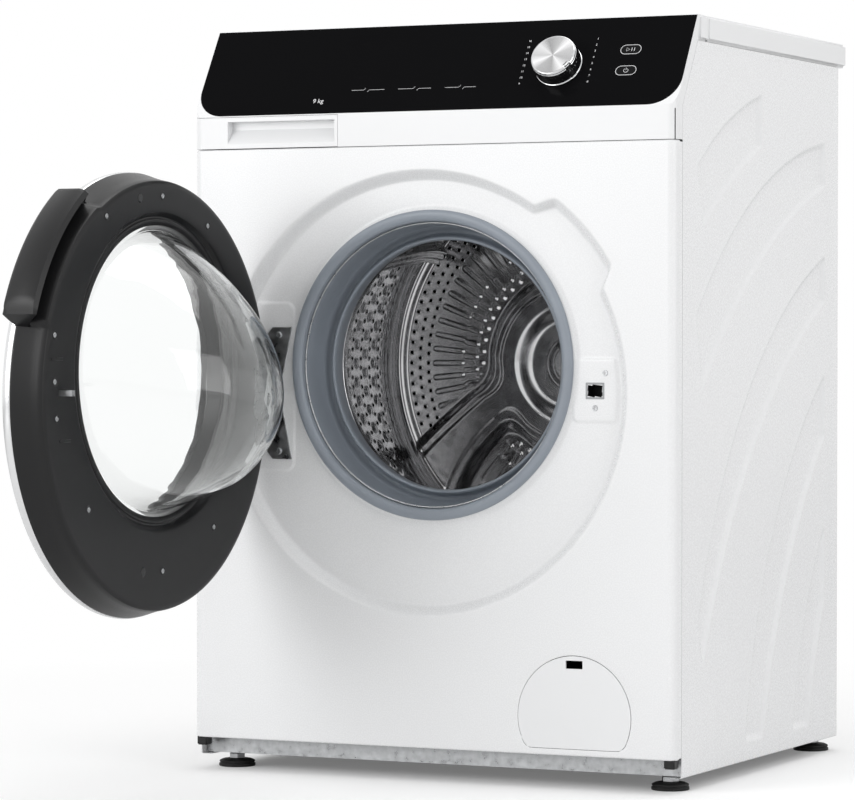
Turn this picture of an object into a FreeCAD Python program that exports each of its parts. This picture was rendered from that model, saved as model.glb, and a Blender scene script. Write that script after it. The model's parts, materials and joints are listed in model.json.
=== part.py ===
import FreeCAD, Part
import math
import os

# Front load washing machine. Millimetres. X to the right seen from the front, Y to the back, Z up.
# The origin is on the floor, midway between the four feet. Depths are counted back from the front panel.

V = FreeCAD.Vector

# cabinet
width = 595.0
height = 850.0
side_depth = 522.0
sheet = 1.0
flange = 15.0
seam = 0.5
gap = 0.3
corner_radius = 10.0
band_press = 4.0
corner_depth = 18.0
front_bottom = 37.3
side_bottom = 16.5
worktop_thickness = 29.0
worktop_overhang = 1.8
worktop_front = 64.0
worktop_rear_overhang = 23.0
fascia_drop = 139.5
transit_hole_radius = 11.0
transit_span_x = 300.0
transit_span_z = 260.0
rear_cover_radius = 172.0

# control panel slope
slope_drop = 102.0
slope_run = 62.0
fascia_wall = 2.5
glass_thickness = 3.0
glass_corner = 35.0
knob_x = 147.0
knob_along = 55.0
knob_radius = 26.0
knob_height = 22.0
knob_shaft_radius = 3.0
key_x = 228.0
key_along = (46.5, 74.5)
key_length = 25.0
key_height = 13.0
key_travel = 1.2
key_clearance = 0.4
board_standoff = 9.0

# door opening and recess
porthole_drop = 385.0
porthole_radius = 170.0
recess_radius = 250.0
recess_x = -9.0
recess_lower = 31.0
recess_depth = 14.0
recess_wall = 12.0
scallop_radius = 271.0
scallop_angles = (28.0, 56.0)

# door
door_x = -3.0
door_lower = 32.5
door_radius = 242.0
door_front = -44.0
door_back = 4.0
door_wall = 3.0
door_split = -31.0
door_open_angle = 91.8
hinge_x = -222.0
hinge_front = 22.0
hinge_pin_radius = 4.0
running = 0.05
glass_mouth_radius = 157.0
bowl_wall = 4.0
bowl_depth = 140.0
bowl_base_radius = 152.0
bowl_droop = 27.0
bowl_lower = 6.0
handle_angles = (32.0, 52.0)
handle_radius = 262.0
hinge_plate_width = 45.0
hinge_plate_height = 150.0
knuckle_height = 30.0
knuckle_spacing = 90.0
lock_x = 197.0
lock_lower = 27.5
lock_slot_width = 19.0
lock_slot_height = 15.0
screw_radius = 4.0
hook_pin_radius = 2.0

# tub and drum
tub_radius = 258.0
tub_wall = 4.0
tub_front_depth = 80.0
tub_split = 210.0
tub_rear_depth = 456.0
tub_mouth = 166.0
drum_radius = 246.0
drum_wall = 1.0
drum_front_depth = 94.0
drum_back_depth = 410.0
drum_mouth = 150.0
lifter_height = 48.0
lifter_count = 3
lifter_turn = 68.0
shaft_radius = 12.5
bearing_radius = 31.0
bearing_width = 15.0
pulley_radius = 140.0
pulley_depth = 488.0
belt_width = 12.0
belt_thickness = 3.0
motor_x = 60.0
motor_drop = 330.0
motor_radius = 62.0
motor_pulley_radius = 10.0
counterweight_thickness = 28.0
gasket_wall = 3.5
gasket_wire = 2.0
gasket_lip_depth = 6.0

# suspension
spring_x = 225.0
spring_radius = 14.0
spring_wire = 2.0
damper_x = 165.0
damper_radius = 15.0
rod_radius = 6.0
tub_travel_up = 6.0
tub_travel_down = 12.0
suspension_depth = 300.0

# base and feet
foot_x = 270.0
foot_front_depth = 54.0
foot_rear_inset = 16.0
foot_radius = 21.0
foot_pad = 9.0
stud_radius = 5.0
foot_flats = 17.0
rail_half = 24.0
rail_top = 44.0
rail_sheet = 2.0

# drawer
drawer_right_inset = 184.5
drawer_front_height = 36.0
drawer_wall = 2.0
tray_split = 55.0
tray_depth = 235.0
tray_inset = 18.0
runner_gap = 0.6
dispenser_wall = 2.5
dispenser_height = 86.0

# pump, flap, water path
flap_x = 178.0
flap_z = 80.0
flap_radius = 67.0
flap_flat = 45.0
flap_thickness = 2.0
flap_pin_radius = 0.8
flap_relief = 2.2
flap_relief_height = 3.0
pump_z = 86.0
filter_radius = 24.0
pump_radius = 32.0
volute_radius = 40.0
pump_depth = 142.0
sump_radius = 20.0
impeller_radius = 24.0
pipe_radius = 11.0
pipe_wall = 2.0
outlet_x = 262.0
outlet_z = 300.0
inlet_x = -200.0
inlet_drop = 62.0
inlet_thread_radius = 13.2
spigot_shoulder = 1.5
spigot_length = 20.0
inlet_length = 14.0
gland_x = 215.0
gland_drop = 120.0

# derived places
half = width / 2
front_y = -(foot_front_depth + side_depth - foot_rear_inset) / 2
rear_foot_depth = side_depth - foot_rear_inset
side_top = height - worktop_thickness
fascia_bottom = height - fascia_drop
slope_bottom = height - slope_drop
slope_angle = math.degrees(math.atan2(slope_drop, slope_run))
slope_length = math.hypot(slope_drop, slope_run)
cheek_top_depth = corner_depth + slope_run * (side_top - slope_bottom) / slope_drop
porthole_z = height - porthole_drop
recess_z = porthole_z - recess_lower
door_z = porthole_z - door_lower
lock_z = porthole_z - lock_lower
bowl_z = porthole_z - bowl_lower
spring_top = side_top - 2 * sheet
drawer_right = -half + drawer_right_inset
motor_z = porthole_z - motor_drop
pump_inlet_depth = tub_front_depth + 14 + sump_radius
inlet_z = height - inlet_drop
gland_z = side_top - gland_drop


def back(depth):
    return front_y + depth


def box(x0, x1, d0, d1, z0, z1):
    return Part.makeBox(x1 - x0, d1 - d0, z1 - z0, V(x0, back(d0), z0))


def cylinder_y(x, z, radius, d0, d1):
    return Part.makeCylinder(radius, d1 - d0, V(x, back(d0), z), V(0, 1, 0))


def cylinder_z(x, depth, radius, z0, z1):
    return Part.makeCylinder(radius, z1 - z0, V(x, back(depth), z0), V(0, 0, 1))


def tube_y(x, z, outer, inner, d0, d1):
    return cylinder_y(x, z, outer, d0, d1).cut(cylinder_y(x, z, inner, d0 - 1, d1 + 1))


def tube_z(x, depth, outer, inner, z0, z1):
    return cylinder_z(x, depth, outer, z0, z1).cut(cylinder_z(x, depth, inner, z0 - 1, z1 + 1))


def face_of(points):
    return Part.Face(Part.makePolygon([*points, points[0]]))


def prism_x(outline, x0, x1):
    """A (depth, z) outline drawn out along X."""
    return face_of([V(x0, back(d), z) for d, z in outline]).extrude(V(x1 - x0, 0, 0))


def prism_y(outline, d0, d1):
    """An (x, z) outline drawn out along Y."""
    return face_of([V(x, back(d0), z) for x, z in outline]).extrude(V(0, d1 - d0, 0))


def turned(outline, x, z, angle=360.0, start=0.0):
    """A (radius, depth) outline turned about a front-to-back axis, from start degrees above +X."""
    shape = face_of([V(x + r, back(d), z) for r, d in outline])
    solid = shape.revolve(V(x, back(0), z), V(0, -1, 0), angle)
    solid.rotate(V(x, back(0), z), V(0, -1, 0), start)
    return solid


def fuse(shapes):
    whole = shapes[0]
    for shape in shapes[1:]:
        whole = whole.fuse(shape)
    return whole.removeSplitter()


def on_slope(shape):
    """Lays a shape drawn flat (x across, y up the slope, z outwards) on the sloped control panel."""
    laid = shape.copy()
    laid.Placement = FreeCAD.Placement(V(0, back(0), slope_bottom), FreeCAD.Rotation(V(1, 0, 0), slope_angle))
    return laid


def opened(shape):
    """Swings a shape that is drawn closed to the open position of the door."""
    swung = shape.copy()
    swung.rotate(V(hinge_x, back(-hinge_front), 0), V(0, 0, 1), -door_open_angle)
    return swung


def rounded_plan(d1, z0, z1, inset):
    """The cabinet's plan with its two rounded front corners, drawn up from z0 to z1."""
    radius = corner_radius - inset
    solid = box(-half + inset, half - inset, inset, d1, z0, z1)
    edges = [e for e in solid.Edges if e.Length > z1 - z0 - 0.01 and e.CenterOfMass.y < back(inset) + 0.01]
    return solid.makeFillet(radius, [e for e in edges if abs(e.tangentAt(0).z) > 0.99])


def save(name, *solids):
    shape = solids[0] if len(solids) == 1 else Part.Compound(list(solids))
    shape.exportStep(os.path.join("parts", name + ".step"))


# cabinet shell

def band_outlines():
    """Five curved bands pressed into each side, as (depth, z) points measured from the top of the side."""
    rear = side_depth - 48.0
    return [
        [(261, 48), (144, 88), (62, 137), (78, 205), (160, 154), (261, 107)],
        [(rear, 93), (255, 157), (60, 300), (76, 384), (220, 262), (rear, 145)],
        [(rear, 228), (240, 368), (66, 640), (80, 690), (262, 424), (rear, 283)],
        [(rear, 369), (340, 494), (211, 760), (266, 760), (350, 594), (rear, 443)],
        [(rear, 548), (410, 652), (365, 760), (420, 760), (446, 700), (rear, 638)],
    ]


def band_prism(points, x0, x1, grow):
    top = [V(x0, back(d), side_top - drop) for d, drop in points]
    edges = [
        Part.Arc(top[0], top[1], top[2]).toShape(),
        Part.makeLine(top[2], top[3]),
        Part.Arc(top[3], top[4], top[5]).toShape(),
        Part.makeLine(top[5], top[0]),
    ]
    face = Part.Face(Part.Wire(edges))
    return (face.makeOffset2D(grow) if grow else face).extrude(V(x1 - x0, 0, 0))


def side_panel(side):
    outline = [
        (corner_depth, side_bottom),
        (side_depth, side_bottom),
        (side_depth, side_top),
        (cheek_top_depth, side_top),
        (corner_depth, slope_bottom),
    ]
    panel = prism_x(outline, half - sheet, half)
    flanges = [
        box(half - flange, half, corner_depth, side_depth, side_bottom, side_bottom + sheet),
        box(half - flange, half, cheek_top_depth, side_depth, side_top - sheet, side_top),
        box(half - flange, half, side_depth - sheet, side_depth, side_bottom, side_top),
        box(half - flange, half, corner_depth, corner_depth + sheet, side_bottom, slope_bottom),
    ]
    panel = fuse([panel, *flanges])
    for points in band_outlines():
        panel = panel.fuse(band_prism(points, half - sheet - band_press, half - sheet, sheet))
    for points in band_outlines():
        panel = panel.cut(band_prism(points, half - band_press, half + 1, 0))
    panel = panel.removeSplitter()
    return panel if side > 0 else panel.mirror(V(0, 0, 0), V(1, 0, 0))


def rear_panel():
    inner = half - sheet - seam
    low, high = side_bottom + sheet + seam, side_top - sheet - seam
    panel = box(-inner, inner, side_depth - 2 * sheet - seam, side_depth - sheet - seam, low, high)
    d0, d1 = side_depth - 10, side_depth + 10
    panel = panel.cut(cylinder_y(0, porthole_z, rear_cover_radius - 12, d0, d1))
    for x in (-transit_span_x / 2, transit_span_x / 2):
        for z in (-transit_span_z / 2, transit_span_z / 2):
            panel = panel.cut(cylinder_y(x, porthole_z + z, transit_hole_radius, d0, d1))
    for x, z, radius in ((outlet_x, outlet_z, pipe_radius), (inlet_x, inlet_z, inlet_thread_radius)):
        panel = panel.cut(cylinder_y(x, z, radius + spigot_shoulder + gap, d0, d1))
    panel = panel.cut(cylinder_y(gland_x, gland_z, 6.5, d0, d1))
    clear = motor_pulley_radius + belt_thickness + 12
    return panel.cut(cylinder_y(motor_x, motor_z, clear, d0, d1))


def rear_cover():
    """Dished cover over the pulley, screwed to the rear panel."""
    d0 = side_depth - sheet - seam
    outline = [
        (0, d0 + 9),
        (rear_cover_radius - 22, d0 + 9),
        (rear_cover_radius - 14, d0 + 1),
        (rear_cover_radius - 14, d0),
        (rear_cover_radius, d0),
        (rear_cover_radius, d0 + 1),
        (rear_cover_radius - 13, d0 + 1.2),
        (rear_cover_radius - 21, d0 + 10),
        (0, d0 + 10),
    ]
    return turned(outline, 0, porthole_z)


def front_panel():
    z1 = fascia_bottom - seam
    outer = rounded_plan(corner_depth, front_bottom, z1, 0)
    inner = rounded_plan(corner_depth + 1, front_bottom - 1, z1 + 1, sheet)
    shell = outer.cut(inner)
    lips = [
        box(-half + corner_radius, half - corner_radius, 0, corner_depth, front_bottom, front_bottom + sheet),
        box(-half + corner_radius, half - corner_radius, 0, corner_depth, z1 - sheet, z1),
    ]
    dish = turned([
        (recess_radius, 0), (recess_radius + 0.5, sheet), (recess_radius - recess_wall, recess_depth + sheet),
        (porthole_radius, recess_depth + sheet), (porthole_radius, recess_depth),
        (recess_radius - recess_wall, recess_depth),
    ], recess_x, recess_z)
    hollow = cylinder_y(recess_x, recess_z, recess_radius, -1, sheet + 1)
    a0, a1 = scallop_angles
    cut_out = turned([(porthole_radius, -1), (scallop_radius, -1), (scallop_radius, sheet + 1),
                      (porthole_radius, sheet + 1)], recess_x, recess_z, a1 - a0, a0)
    scallop = turned([
        (recess_radius - recess_wall, recess_depth), (recess_radius - recess_wall, recess_depth + sheet),
        (scallop_radius - 6, recess_depth + sheet), (scallop_radius, 0), (scallop_radius - 1, 0),
        (scallop_radius - 7, recess_depth),
    ], recess_x, recess_z, a1 - a0, a0)
    collar = turned([
        (porthole_radius - 6, recess_depth - 4), (porthole_radius + 3, recess_depth - 4),
        (porthole_radius + 6, recess_depth + sheet), (porthole_radius + 5, recess_depth + sheet),
        (porthole_radius + 2, recess_depth - 3), (porthole_radius - 5, recess_depth - 3),
        (porthole_radius - 5, recess_depth + 6), (porthole_radius - 6, recess_depth + 6),
    ], 0, porthole_z)
    rim_hole = cylinder_y(0, porthole_z, porthole_radius + 5, -1, recess_depth + 9)
    dish = dish.fuse(cylinder_y(recess_x, recess_z, porthole_radius + 40, recess_depth, recess_depth + sheet))
    dish = dish.cut(rim_hole)
    panel = fuse([shell, *lips]).cut(hollow).cut(cut_out)
    panel = fuse([panel, dish.cut(cut_out), scallop, collar])
    slot_w, slot_h = lock_slot_width / 2, lock_slot_height / 2
    d1 = recess_depth + sheet + 1
    panel = panel.cut(box(lock_x - slot_w, lock_x + slot_w, -1, d1, lock_z - slot_h, lock_z + slot_h))
    for x, z in [*lock_screw_places(), *hinge_screw_places()]:
        panel = panel.cut(cylinder_y(x, z, screw_radius / 2 + gap, -1, d1))
    panel = panel.cut(flap_shape(2 * gap, -1, sheet + 1)).cut(flap_swing_relief())
    panel = fuse([panel, *flap_lugs()])
    for pin in flap_pins(flap_pin_radius + running, 14.5):
        panel = panel.cut(pin)
    return panel


def lock_screw_places():
    return [(lock_x + 12, lock_z + 19.5), (lock_x, lock_z - 19)]


def hinge_screw_places():
    x = hinge_plate_right() - 16
    return [(x, door_z + hinge_plate_height / 2 - 9), (x, door_z - hinge_plate_height / 2 + 9)]


def hinge_plate_right():
    return hinge_x + hinge_plate_width


def worktop():
    outer = box(-half - worktop_overhang, half + worktop_overhang, worktop_front,
                side_depth + worktop_rear_overhang, side_top + seam, height)
    edges = [e for e in outer.Edges if abs(e.tangentAt(0).z) < 0.01 and e.CenterOfMass.z > height - 1]
    return outer.makeFillet(3.0, edges)


def slope_depth(z, inset):
    """Depth of the slope at height z, or of a plane inset behind it."""
    return inset / math.sin(math.radians(slope_angle)) + (z - slope_bottom) * slope_run / slope_drop


def control_fascia():
    top_depth = worktop_front - seam
    outline = [(0, fascia_bottom), (0, slope_bottom), (slope_run, height), (top_depth, height), (top_depth, side_top),
               (cheek_top_depth - seam, side_top), (corner_depth - seam, slope_bottom),
               (corner_depth - seam, fascia_bottom)]
    solid = prism_x(outline, -half, half).common(rounded_plan(side_depth, fascia_bottom, height + 1, 0))
    wall = fascia_wall
    low, high = slope_bottom - 4, height - wall - 4
    inner = [(wall, fascia_bottom - 1), (wall, low), (slope_depth(low, wall + glass_thickness), low),
             (slope_depth(high, wall + glass_thickness), high), (side_depth, high), (side_depth, fascia_bottom - 1)]
    solid = solid.cut(prism_x(inner, -half + wall, half - wall))
    solid = solid.cut(on_slope(glass_plate(glass_thickness, gap)))
    for along in key_along:
        solid = solid.cut(on_slope(key_hole(along, -wall - glass_thickness - 4)))
    solid = solid.cut(on_slope(Part.makeCylinder(knob_shaft_radius + running, 20, V(knob_x, knob_along, -15))))
    notch = box(-half - 1, drawer_right + seam, -1, corner_depth + 1, fascia_bottom - 1, drawer_top() + seam)
    return solid.cut(notch)


def drawer_top():
    return fascia_bottom + drawer_front_height


def glass_plate(thickness, clearance):
    """The black plate that lies in the slope, flush with it, drawn flat."""
    reach = half - 0.5 + clearance
    y0, y1 = 0.5 - clearance, slope_length - 1
    radius = glass_corner + clearance
    plate = Part.makeBox(2 * reach, y1 - y0, thickness, V(-reach, y0, -thickness))
    lower = [e for e in plate.Edges if abs(e.tangentAt(0).z) > 0.99 and e.CenterOfMass.y < y0 + 1]
    return plate.makeFillet(radius, lower)


def pill(x, along, length, tall, z0, z1):
    r = tall / 2
    run = length / 2 - r
    middle = Part.makeBox(2 * run, tall, z1 - z0, V(x - run, along - r, z0))
    ends = [Part.makeCylinder(r, z1 - z0, V(x + s * run, along, z0)) for s in (-1, 1)]
    return fuse([middle, *ends])


def key_hole(along, z0):
    return pill(key_x, along, key_length + 2 * key_clearance, key_height + 2 * key_clearance, z0, 1)


def control_panel():
    plate = glass_plate(glass_thickness, 0)
    for along in key_along:
        plate = plate.cut(key_hole(along, -glass_thickness - 1))
    plate = plate.cut(Part.makeCylinder(knob_shaft_radius + running, glass_thickness + 2,
                                        V(knob_x, knob_along, -glass_thickness - 1)))
    return on_slope(plate)


def control_board():
    """Circuit board parallel to the slope, with the knob's encoder and a display under the glass."""
    z1 = -glass_thickness - fascia_wall - board_standoff
    plate = Part.makeBox(220, 60, 1.6, V(knob_x - 110 + 15, 28, z1 - 1.6))
    encoder = Part.makeCylinder(8, board_standoff - 2, V(knob_x, knob_along, z1))
    bore = Part.makeCylinder(knob_shaft_radius + running, 40, V(knob_x, knob_along, -35))
    posts = [Part.makeCylinder(2.5, board_standoff, V(knob_x + dx, y, z1)) for dx in (-85, 115) for y in (34, 82)]
    return on_slope(fuse([plate, encoder, *posts]).cut(bore))


def program_knob():
    z0 = gap
    body = Part.makeCone(knob_radius + 1.5, knob_radius, knob_height, V(knob_x, knob_along, z0))
    shaft = Part.makeCylinder(knob_shaft_radius, 14, V(knob_x, knob_along, z0 - 14))
    notch = Part.makeBox(8, 3, 6, V(knob_x - 4, knob_along - knob_radius - 1, z0 + knob_height - 4))
    notch.rotate(V(knob_x, knob_along, 0), V(0, 0, 1), 55)
    return on_slope(fuse([body.cut(notch), shaft]))


def key(along):
    cap = pill(key_x, along, key_length, key_height, -glass_thickness - 2, 0)
    stem = Part.makeCylinder(2.0, 5, V(key_x, along, -glass_thickness - 7))
    return on_slope(fuse([cap, stem]))


# detergent drawer and dispenser

def drawer_front():
    z0, z1 = fascia_bottom + seam, drawer_top()
    solid = rounded_plan(corner_depth - seam, z0, z1, 0)
    solid = solid.common(box(-half, drawer_right, 0, corner_depth, z0, z1))
    pull = [(-1, z1 - 5), (12, z1 - 5), (12, z1 - 14), (-1, z0 + 4)]
    solid = solid.cut(prism_x(pull, -half + 44, drawer_right - 4))
    back_hollow = box(-half + 3, drawer_right - 3, 14, corner_depth, z0 + 3, z1 - 3)
    return solid.cut(back_hollow)


def tray_bounds():
    x0, x1 = -half + tray_inset, drawer_right - tray_inset / 3
    return x0, x1, fascia_bottom + 5, drawer_top() - 1


def drawer_tray():
    x0, x1, z0, z1 = tray_bounds()
    w = drawer_wall
    tray = box(x0, x1, corner_depth - seam, corner_depth + tray_depth, z0, z1)
    middle, split = tray_depth * 0.5, x0 + tray_split
    cuts = ((x0 + w, split, middle), (split + w, x1 - w, middle), (x0 + w, x1 - w, tray_depth))
    starts = (corner_depth + w, corner_depth + w, corner_depth + middle + w)
    for (a, b, length), start in zip(cuts, starts):
        end = corner_depth + length - w
        tray = tray.cut(box(a, b, start, end, z0 + w, z1 + 1))
    return tray


def dispenser_housing():
    x0, x1, z0, z1 = tray_bounds()
    w, air = dispenser_wall, runner_gap
    d0, d1 = corner_depth + 2, corner_depth + tray_depth + 20
    top = fascia_bottom + dispenser_height
    front_top = z1 + air + w
    outline = [(d0, z0 - air - w), (d1, z0 - air - w), (d1, top), (d0 + 110, top), (d0 + 60, front_top), (d0, front_top)]
    outer = prism_x(outline, x0 - air - w, x1 + air + w)
    inner = [(d0 - 1, z0 - air), (d1 - w, z0 - air), (d1 - w, top - w), (d0 + 110, top - w),
             (d0 + 60, z1 + air), (d0 - 1, z1 + air)]
    housing = outer.cut(prism_x(inner, x0 - air, x1 + air))
    spout = cylinder_z(dispenser_x(), spout_depth(), 16, z0 - air - w - 14, z0 - air - w + 1)
    hole = cylinder_z(dispenser_x(), spout_depth(), 13.5, z0 - air - w - 20, z0)
    return fuse([housing, spout]).cut(hole)


def dispenser_x():
    return (-half + drawer_right) / 2


def spout_depth():
    return corner_depth + tray_depth - 15


def tub_height_at(x, radius=None):
    """Height of the tub's surface above its axis at a sideways distance x."""
    r = tub_radius if radius is None else radius
    return math.sqrt(r * r - x * x)


def fill_bellows():
    """Ribbed rubber hose from the dispenser's spout to the tub."""
    x, d = dispenser_x(), spout_depth()
    z1 = tray_bounds()[2] - runner_gap - dispenser_wall - gap
    z0 = porthole_z + tub_height_at(x) + 26
    return tube_z(x, d, 20, 16 + gap, z0, z1)


def inlet_valve():
    d1 = side_depth - 2 * sheet - 2 * seam
    body = box(inlet_x - 20, inlet_x + 20, d1 - 40, d1, inlet_z - 16, inlet_z + 22)
    thread = cylinder_y(inlet_x, inlet_z, inlet_thread_radius, d1 - 2, side_depth + inlet_length)
    shoulder = cylinder_y(inlet_x, inlet_z, inlet_thread_radius + spigot_shoulder, d1 - 2, side_depth)
    nose = cylinder_y(inlet_x, inlet_z, 6, d1 - 62, d1 - 39)
    solid = fuse([body, thread, shoulder, nose])
    return solid.cut(cylinder_y(inlet_x, inlet_z, 4, d1 - 63, side_depth + inlet_length + 1))


def inlet_hose():
    nose_end = side_depth - 2 * sheet - 2 * seam - 62
    d0 = corner_depth + tray_depth + 20
    return tube_y(inlet_x, inlet_z, 8.5, 6 + gap / 3, d0, nose_end + 20)


# door, drawn closed and then swung open

def bowl_ring(share):
    """Radius and drop of the glass bowl at a share of its depth."""
    radius = bowl_base_radius * (1 - 0.45 * share) * math.sqrt(1 - 0.86 * share ** 5)
    return radius, bowl_droop * share


def bowl_solid(shrink):
    rings = []
    for i in range(7):
        share = i / 6
        radius, drop = bowl_ring(share)
        depth = door_back - 8 + (bowl_depth - shrink) * share
        circle = Part.makeCircle(radius - shrink, V(door_x, back(depth), bowl_z - drop), V(0, 1, 0))
        rings.append(Part.Wire(circle))
    return Part.makeLoft(rings, True, False)


def door_glass():
    rim_depth = door_back - 8
    rim = cylinder_y(door_x, bowl_z, bowl_base_radius + 14, rim_depth - 5, rim_depth)
    bowl = fuse([rim, bowl_solid(0)])
    hollow = fuse([bowl_solid(bowl_wall), cylinder_y(door_x, bowl_z, bowl_base_radius - bowl_wall,
                                                     rim_depth - 6, rim_depth + 0.1)])
    return opened(bowl.cut(hollow))


def door_window(radius, d0, d1):
    return cylinder_y(door_x, bowl_z, radius, d0, d1)


def door_frame():
    """Inner black ring with the flat inner face, the handle bulge and the seat of the glass."""
    ring = turned([
        (140, door_back), (door_radius - 14, door_back), (door_radius - 8, door_back - 8),
        (door_radius - 3, door_split + 12), (door_radius - 1, door_split + seam), (140, door_split + seam),
    ], door_x, door_z)
    a0, a1 = handle_angles
    handle = turned([
        (door_radius - 20, door_back - 4), (handle_radius - 4, door_back - 6), (handle_radius, door_back - 14),
        (handle_radius, door_front + 8), (handle_radius - 5, door_front + 4), (door_radius + seam, door_front + 4),
        (door_radius + seam, door_split + seam),
        (door_radius - 20, door_split + seam),
    ], door_x, door_z, a1 - a0, a0)
    finger = turned([
        (handle_radius - 25, door_back), (handle_radius - 8, door_back), (handle_radius - 8, door_split + 8),
        (handle_radius - 25, door_split + 8),
    ], door_x, door_z, a1 - a0 - 4, a0 + 2)
    solid = fuse([ring, handle]).cut(finger)
    solid = solid.cut(door_window(glass_mouth_radius, -60, 60))
    seat = door_window(bowl_base_radius + 14 + gap, door_split, door_back - 8 + gap)
    arm_half, neck_half = hinge_arm_half() + gap, hinge_neck_half() + 2 * gap
    pocket = box(hinge_x - 9, hinge_x + 34, door_split, 60, door_z - arm_half, door_z + arm_half)
    mouth = box(door_x - door_radius - 9, hinge_x, door_split, 60, door_z - neck_half, door_z + neck_half)
    solid = solid.cut(seat).cut(pocket).cut(mouth)
    return opened(solid.cut(hook_pocket(gap)).cut(hook_pin(hook_pin_radius + running, gap)))


def hinge_neck_half():
    return knuckle_spacing / 2 - knuckle_height / 2 - gap


def hinge_arm_half():
    return knuckle_spacing / 2 + knuckle_height / 2


def door_rim():
    """Silver outer ring with its rounded edge and the bezel round the window."""
    w = door_wall
    outline = [
        (door_radius - 1 - w, door_split), (door_radius - 1, door_split), (door_radius, door_split - 4),
        (door_radius - 3, door_front + 5), (door_radius - 12, door_front), (140, door_front),
        (140, door_front + w), (door_radius - 13, door_front + w), (door_radius - 3 - w, door_front + 7),
    ]
    ring = turned(outline, door_x, door_z)
    tube = door_window(glass_mouth_radius + w, door_front, door_split).cut(door_window(glass_mouth_radius, -60, 60))
    return opened(fuse([ring.cut(door_window(glass_mouth_radius, -60, 60)), tube]))


def hinge_arm():
    """Steel arm inside the door with the two knuckles that turn on the fixed pins."""
    h = hinge_arm_half()
    plate = box(hinge_x + 8, hinge_x + 33, door_split + seam, door_split + seam + 4, door_z - h, door_z + h)
    knuckles = []
    for side in (-1, 1):
        z = door_z + side * knuckle_spacing / 2
        z0, z1 = z - knuckle_height / 2, z + knuckle_height / 2
        barrel = Part.makeCylinder(8, z1 - z0, V(hinge_x, back(-hinge_front), z0))
        web = box(hinge_x, hinge_x + 10, door_split + seam, door_split + seam + 4, z0, z1)
        bore = Part.makeCylinder(hinge_pin_radius + running, z1 - z0 + 2, V(hinge_x, back(-hinge_front), z0 - 1))
        knuckles.append(fuse([barrel, web]).cut(bore))
    return opened(fuse([plate, *knuckles]))


def hinge_bracket():
    """Fixed plate on the recess with a forward arm that carries the two hinge pins."""
    half_h = hinge_plate_height / 2
    d1 = recess_depth - gap
    d0 = d1 - 3
    x1 = hinge_plate_right()
    waist = half_h - 30
    outline = [(hinge_x - 4, door_z - waist), (x1 - 24, door_z - half_h), (x1, door_z - half_h), (x1 - 12, door_z - 18),
               (x1 - 12, door_z + 18), (x1, door_z + half_h), (x1 - 24, door_z + half_h), (hinge_x - 4, door_z + waist)]
    plate = prism_y(outline, d0, d1)
    for x, z in hinge_screw_places():
        plate = plate.cut(cylinder_y(x, z, screw_radius / 2 + gap / 3, d0 - 1, d1 + 1))
    inner = hinge_neck_half()
    neck = box(hinge_x - 4, hinge_x + 4, -hinge_front, d0 + 1, door_z - inner, door_z + inner)
    block = Part.makeCylinder(8, 2 * inner, V(hinge_x, back(-hinge_front), door_z - inner))
    pins = Part.makeCylinder(hinge_pin_radius, knuckle_spacing + knuckle_height - 6,
                             V(hinge_x, back(-hinge_front), door_z - knuckle_spacing / 2 - knuckle_height / 2 + 3))
    return fuse([plate, neck, block, pins])


def hook_pocket(clearance):
    c = clearance
    return box(lock_x - 9 - c, lock_x + 12 + c, door_split, door_back + 1, lock_z - 7 - c, lock_z + 7 + c)


def door_hook():
    """Sprung steel hook that enters the lock; it turns on a short pin across the door's pocket."""
    arm = box(lock_x - 3, lock_x + 3, door_back - 16, door_back + 16, lock_z - 3, lock_z + 3)
    barb = hook_barb()
    eye = Part.makeCylinder(5, 12, V(lock_x, back(door_back - 14), lock_z - 6))
    return opened(fuse([arm, barb, eye, hook_pin(hook_pin_radius, 0)]))


def hook_pin(radius, extra):
    reach = 11 + extra
    return Part.makeCylinder(radius, 2 * reach, V(lock_x, back(door_back - 14), lock_z - reach))


def hook_barb():
    z0, z1 = lock_z - 3, lock_z + 3
    d1 = door_back + 16
    points = [V(lock_x - 3, back(d1), z0), V(lock_x - 7.5, back(d1 - 6), z0), V(lock_x - 3, back(d1 - 7), z0)]
    return face_of(points).extrude(V(0, 0, z1 - z0))


def door_lock():
    """Lock box behind the front panel with the slot for the hook."""
    d0 = recess_depth + sheet
    slot_w, slot_h = lock_slot_width / 2 + 1, lock_slot_height / 2 + 1
    body = box(lock_x - 19, lock_x + 22, d0, d0 + 24, lock_z - 32, lock_z + 32)
    body = body.cut(box(lock_x - slot_w, lock_x + slot_w, d0 - 1, d0 + 18, lock_z - slot_h, lock_z + slot_h))
    for x, z in lock_screw_places():
        body = body.cut(cylinder_y(x, z, screw_radius / 2 + gap / 3, d0 - 1, d0 + 12))
    return body


def front_screws():
    screws = []
    for x, z in lock_screw_places():
        screws.append(screw(x, z, recess_depth))
    for x, z in hinge_screw_places():
        screws.append(screw(x, z, recess_depth - gap - 3))
    return screws


def screw(x, z, depth):
    head = Part.makeCone(screw_radius - 1, screw_radius, 2.2, V(x, back(depth - 2.2), z), V(0, 1, 0))
    shank = cylinder_y(x, z, screw_radius / 2, depth - 0.5, depth + 10)
    cross = fuse([box(x - 2, x + 2, depth - 3, depth - 1, z - 0.5, z + 0.5),
                  box(x - 0.5, x + 0.5, depth - 3, depth - 1, z - 2, z + 2)])
    return fuse([head, shank]).cut(cross)


# gasket, tub and drum

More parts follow.
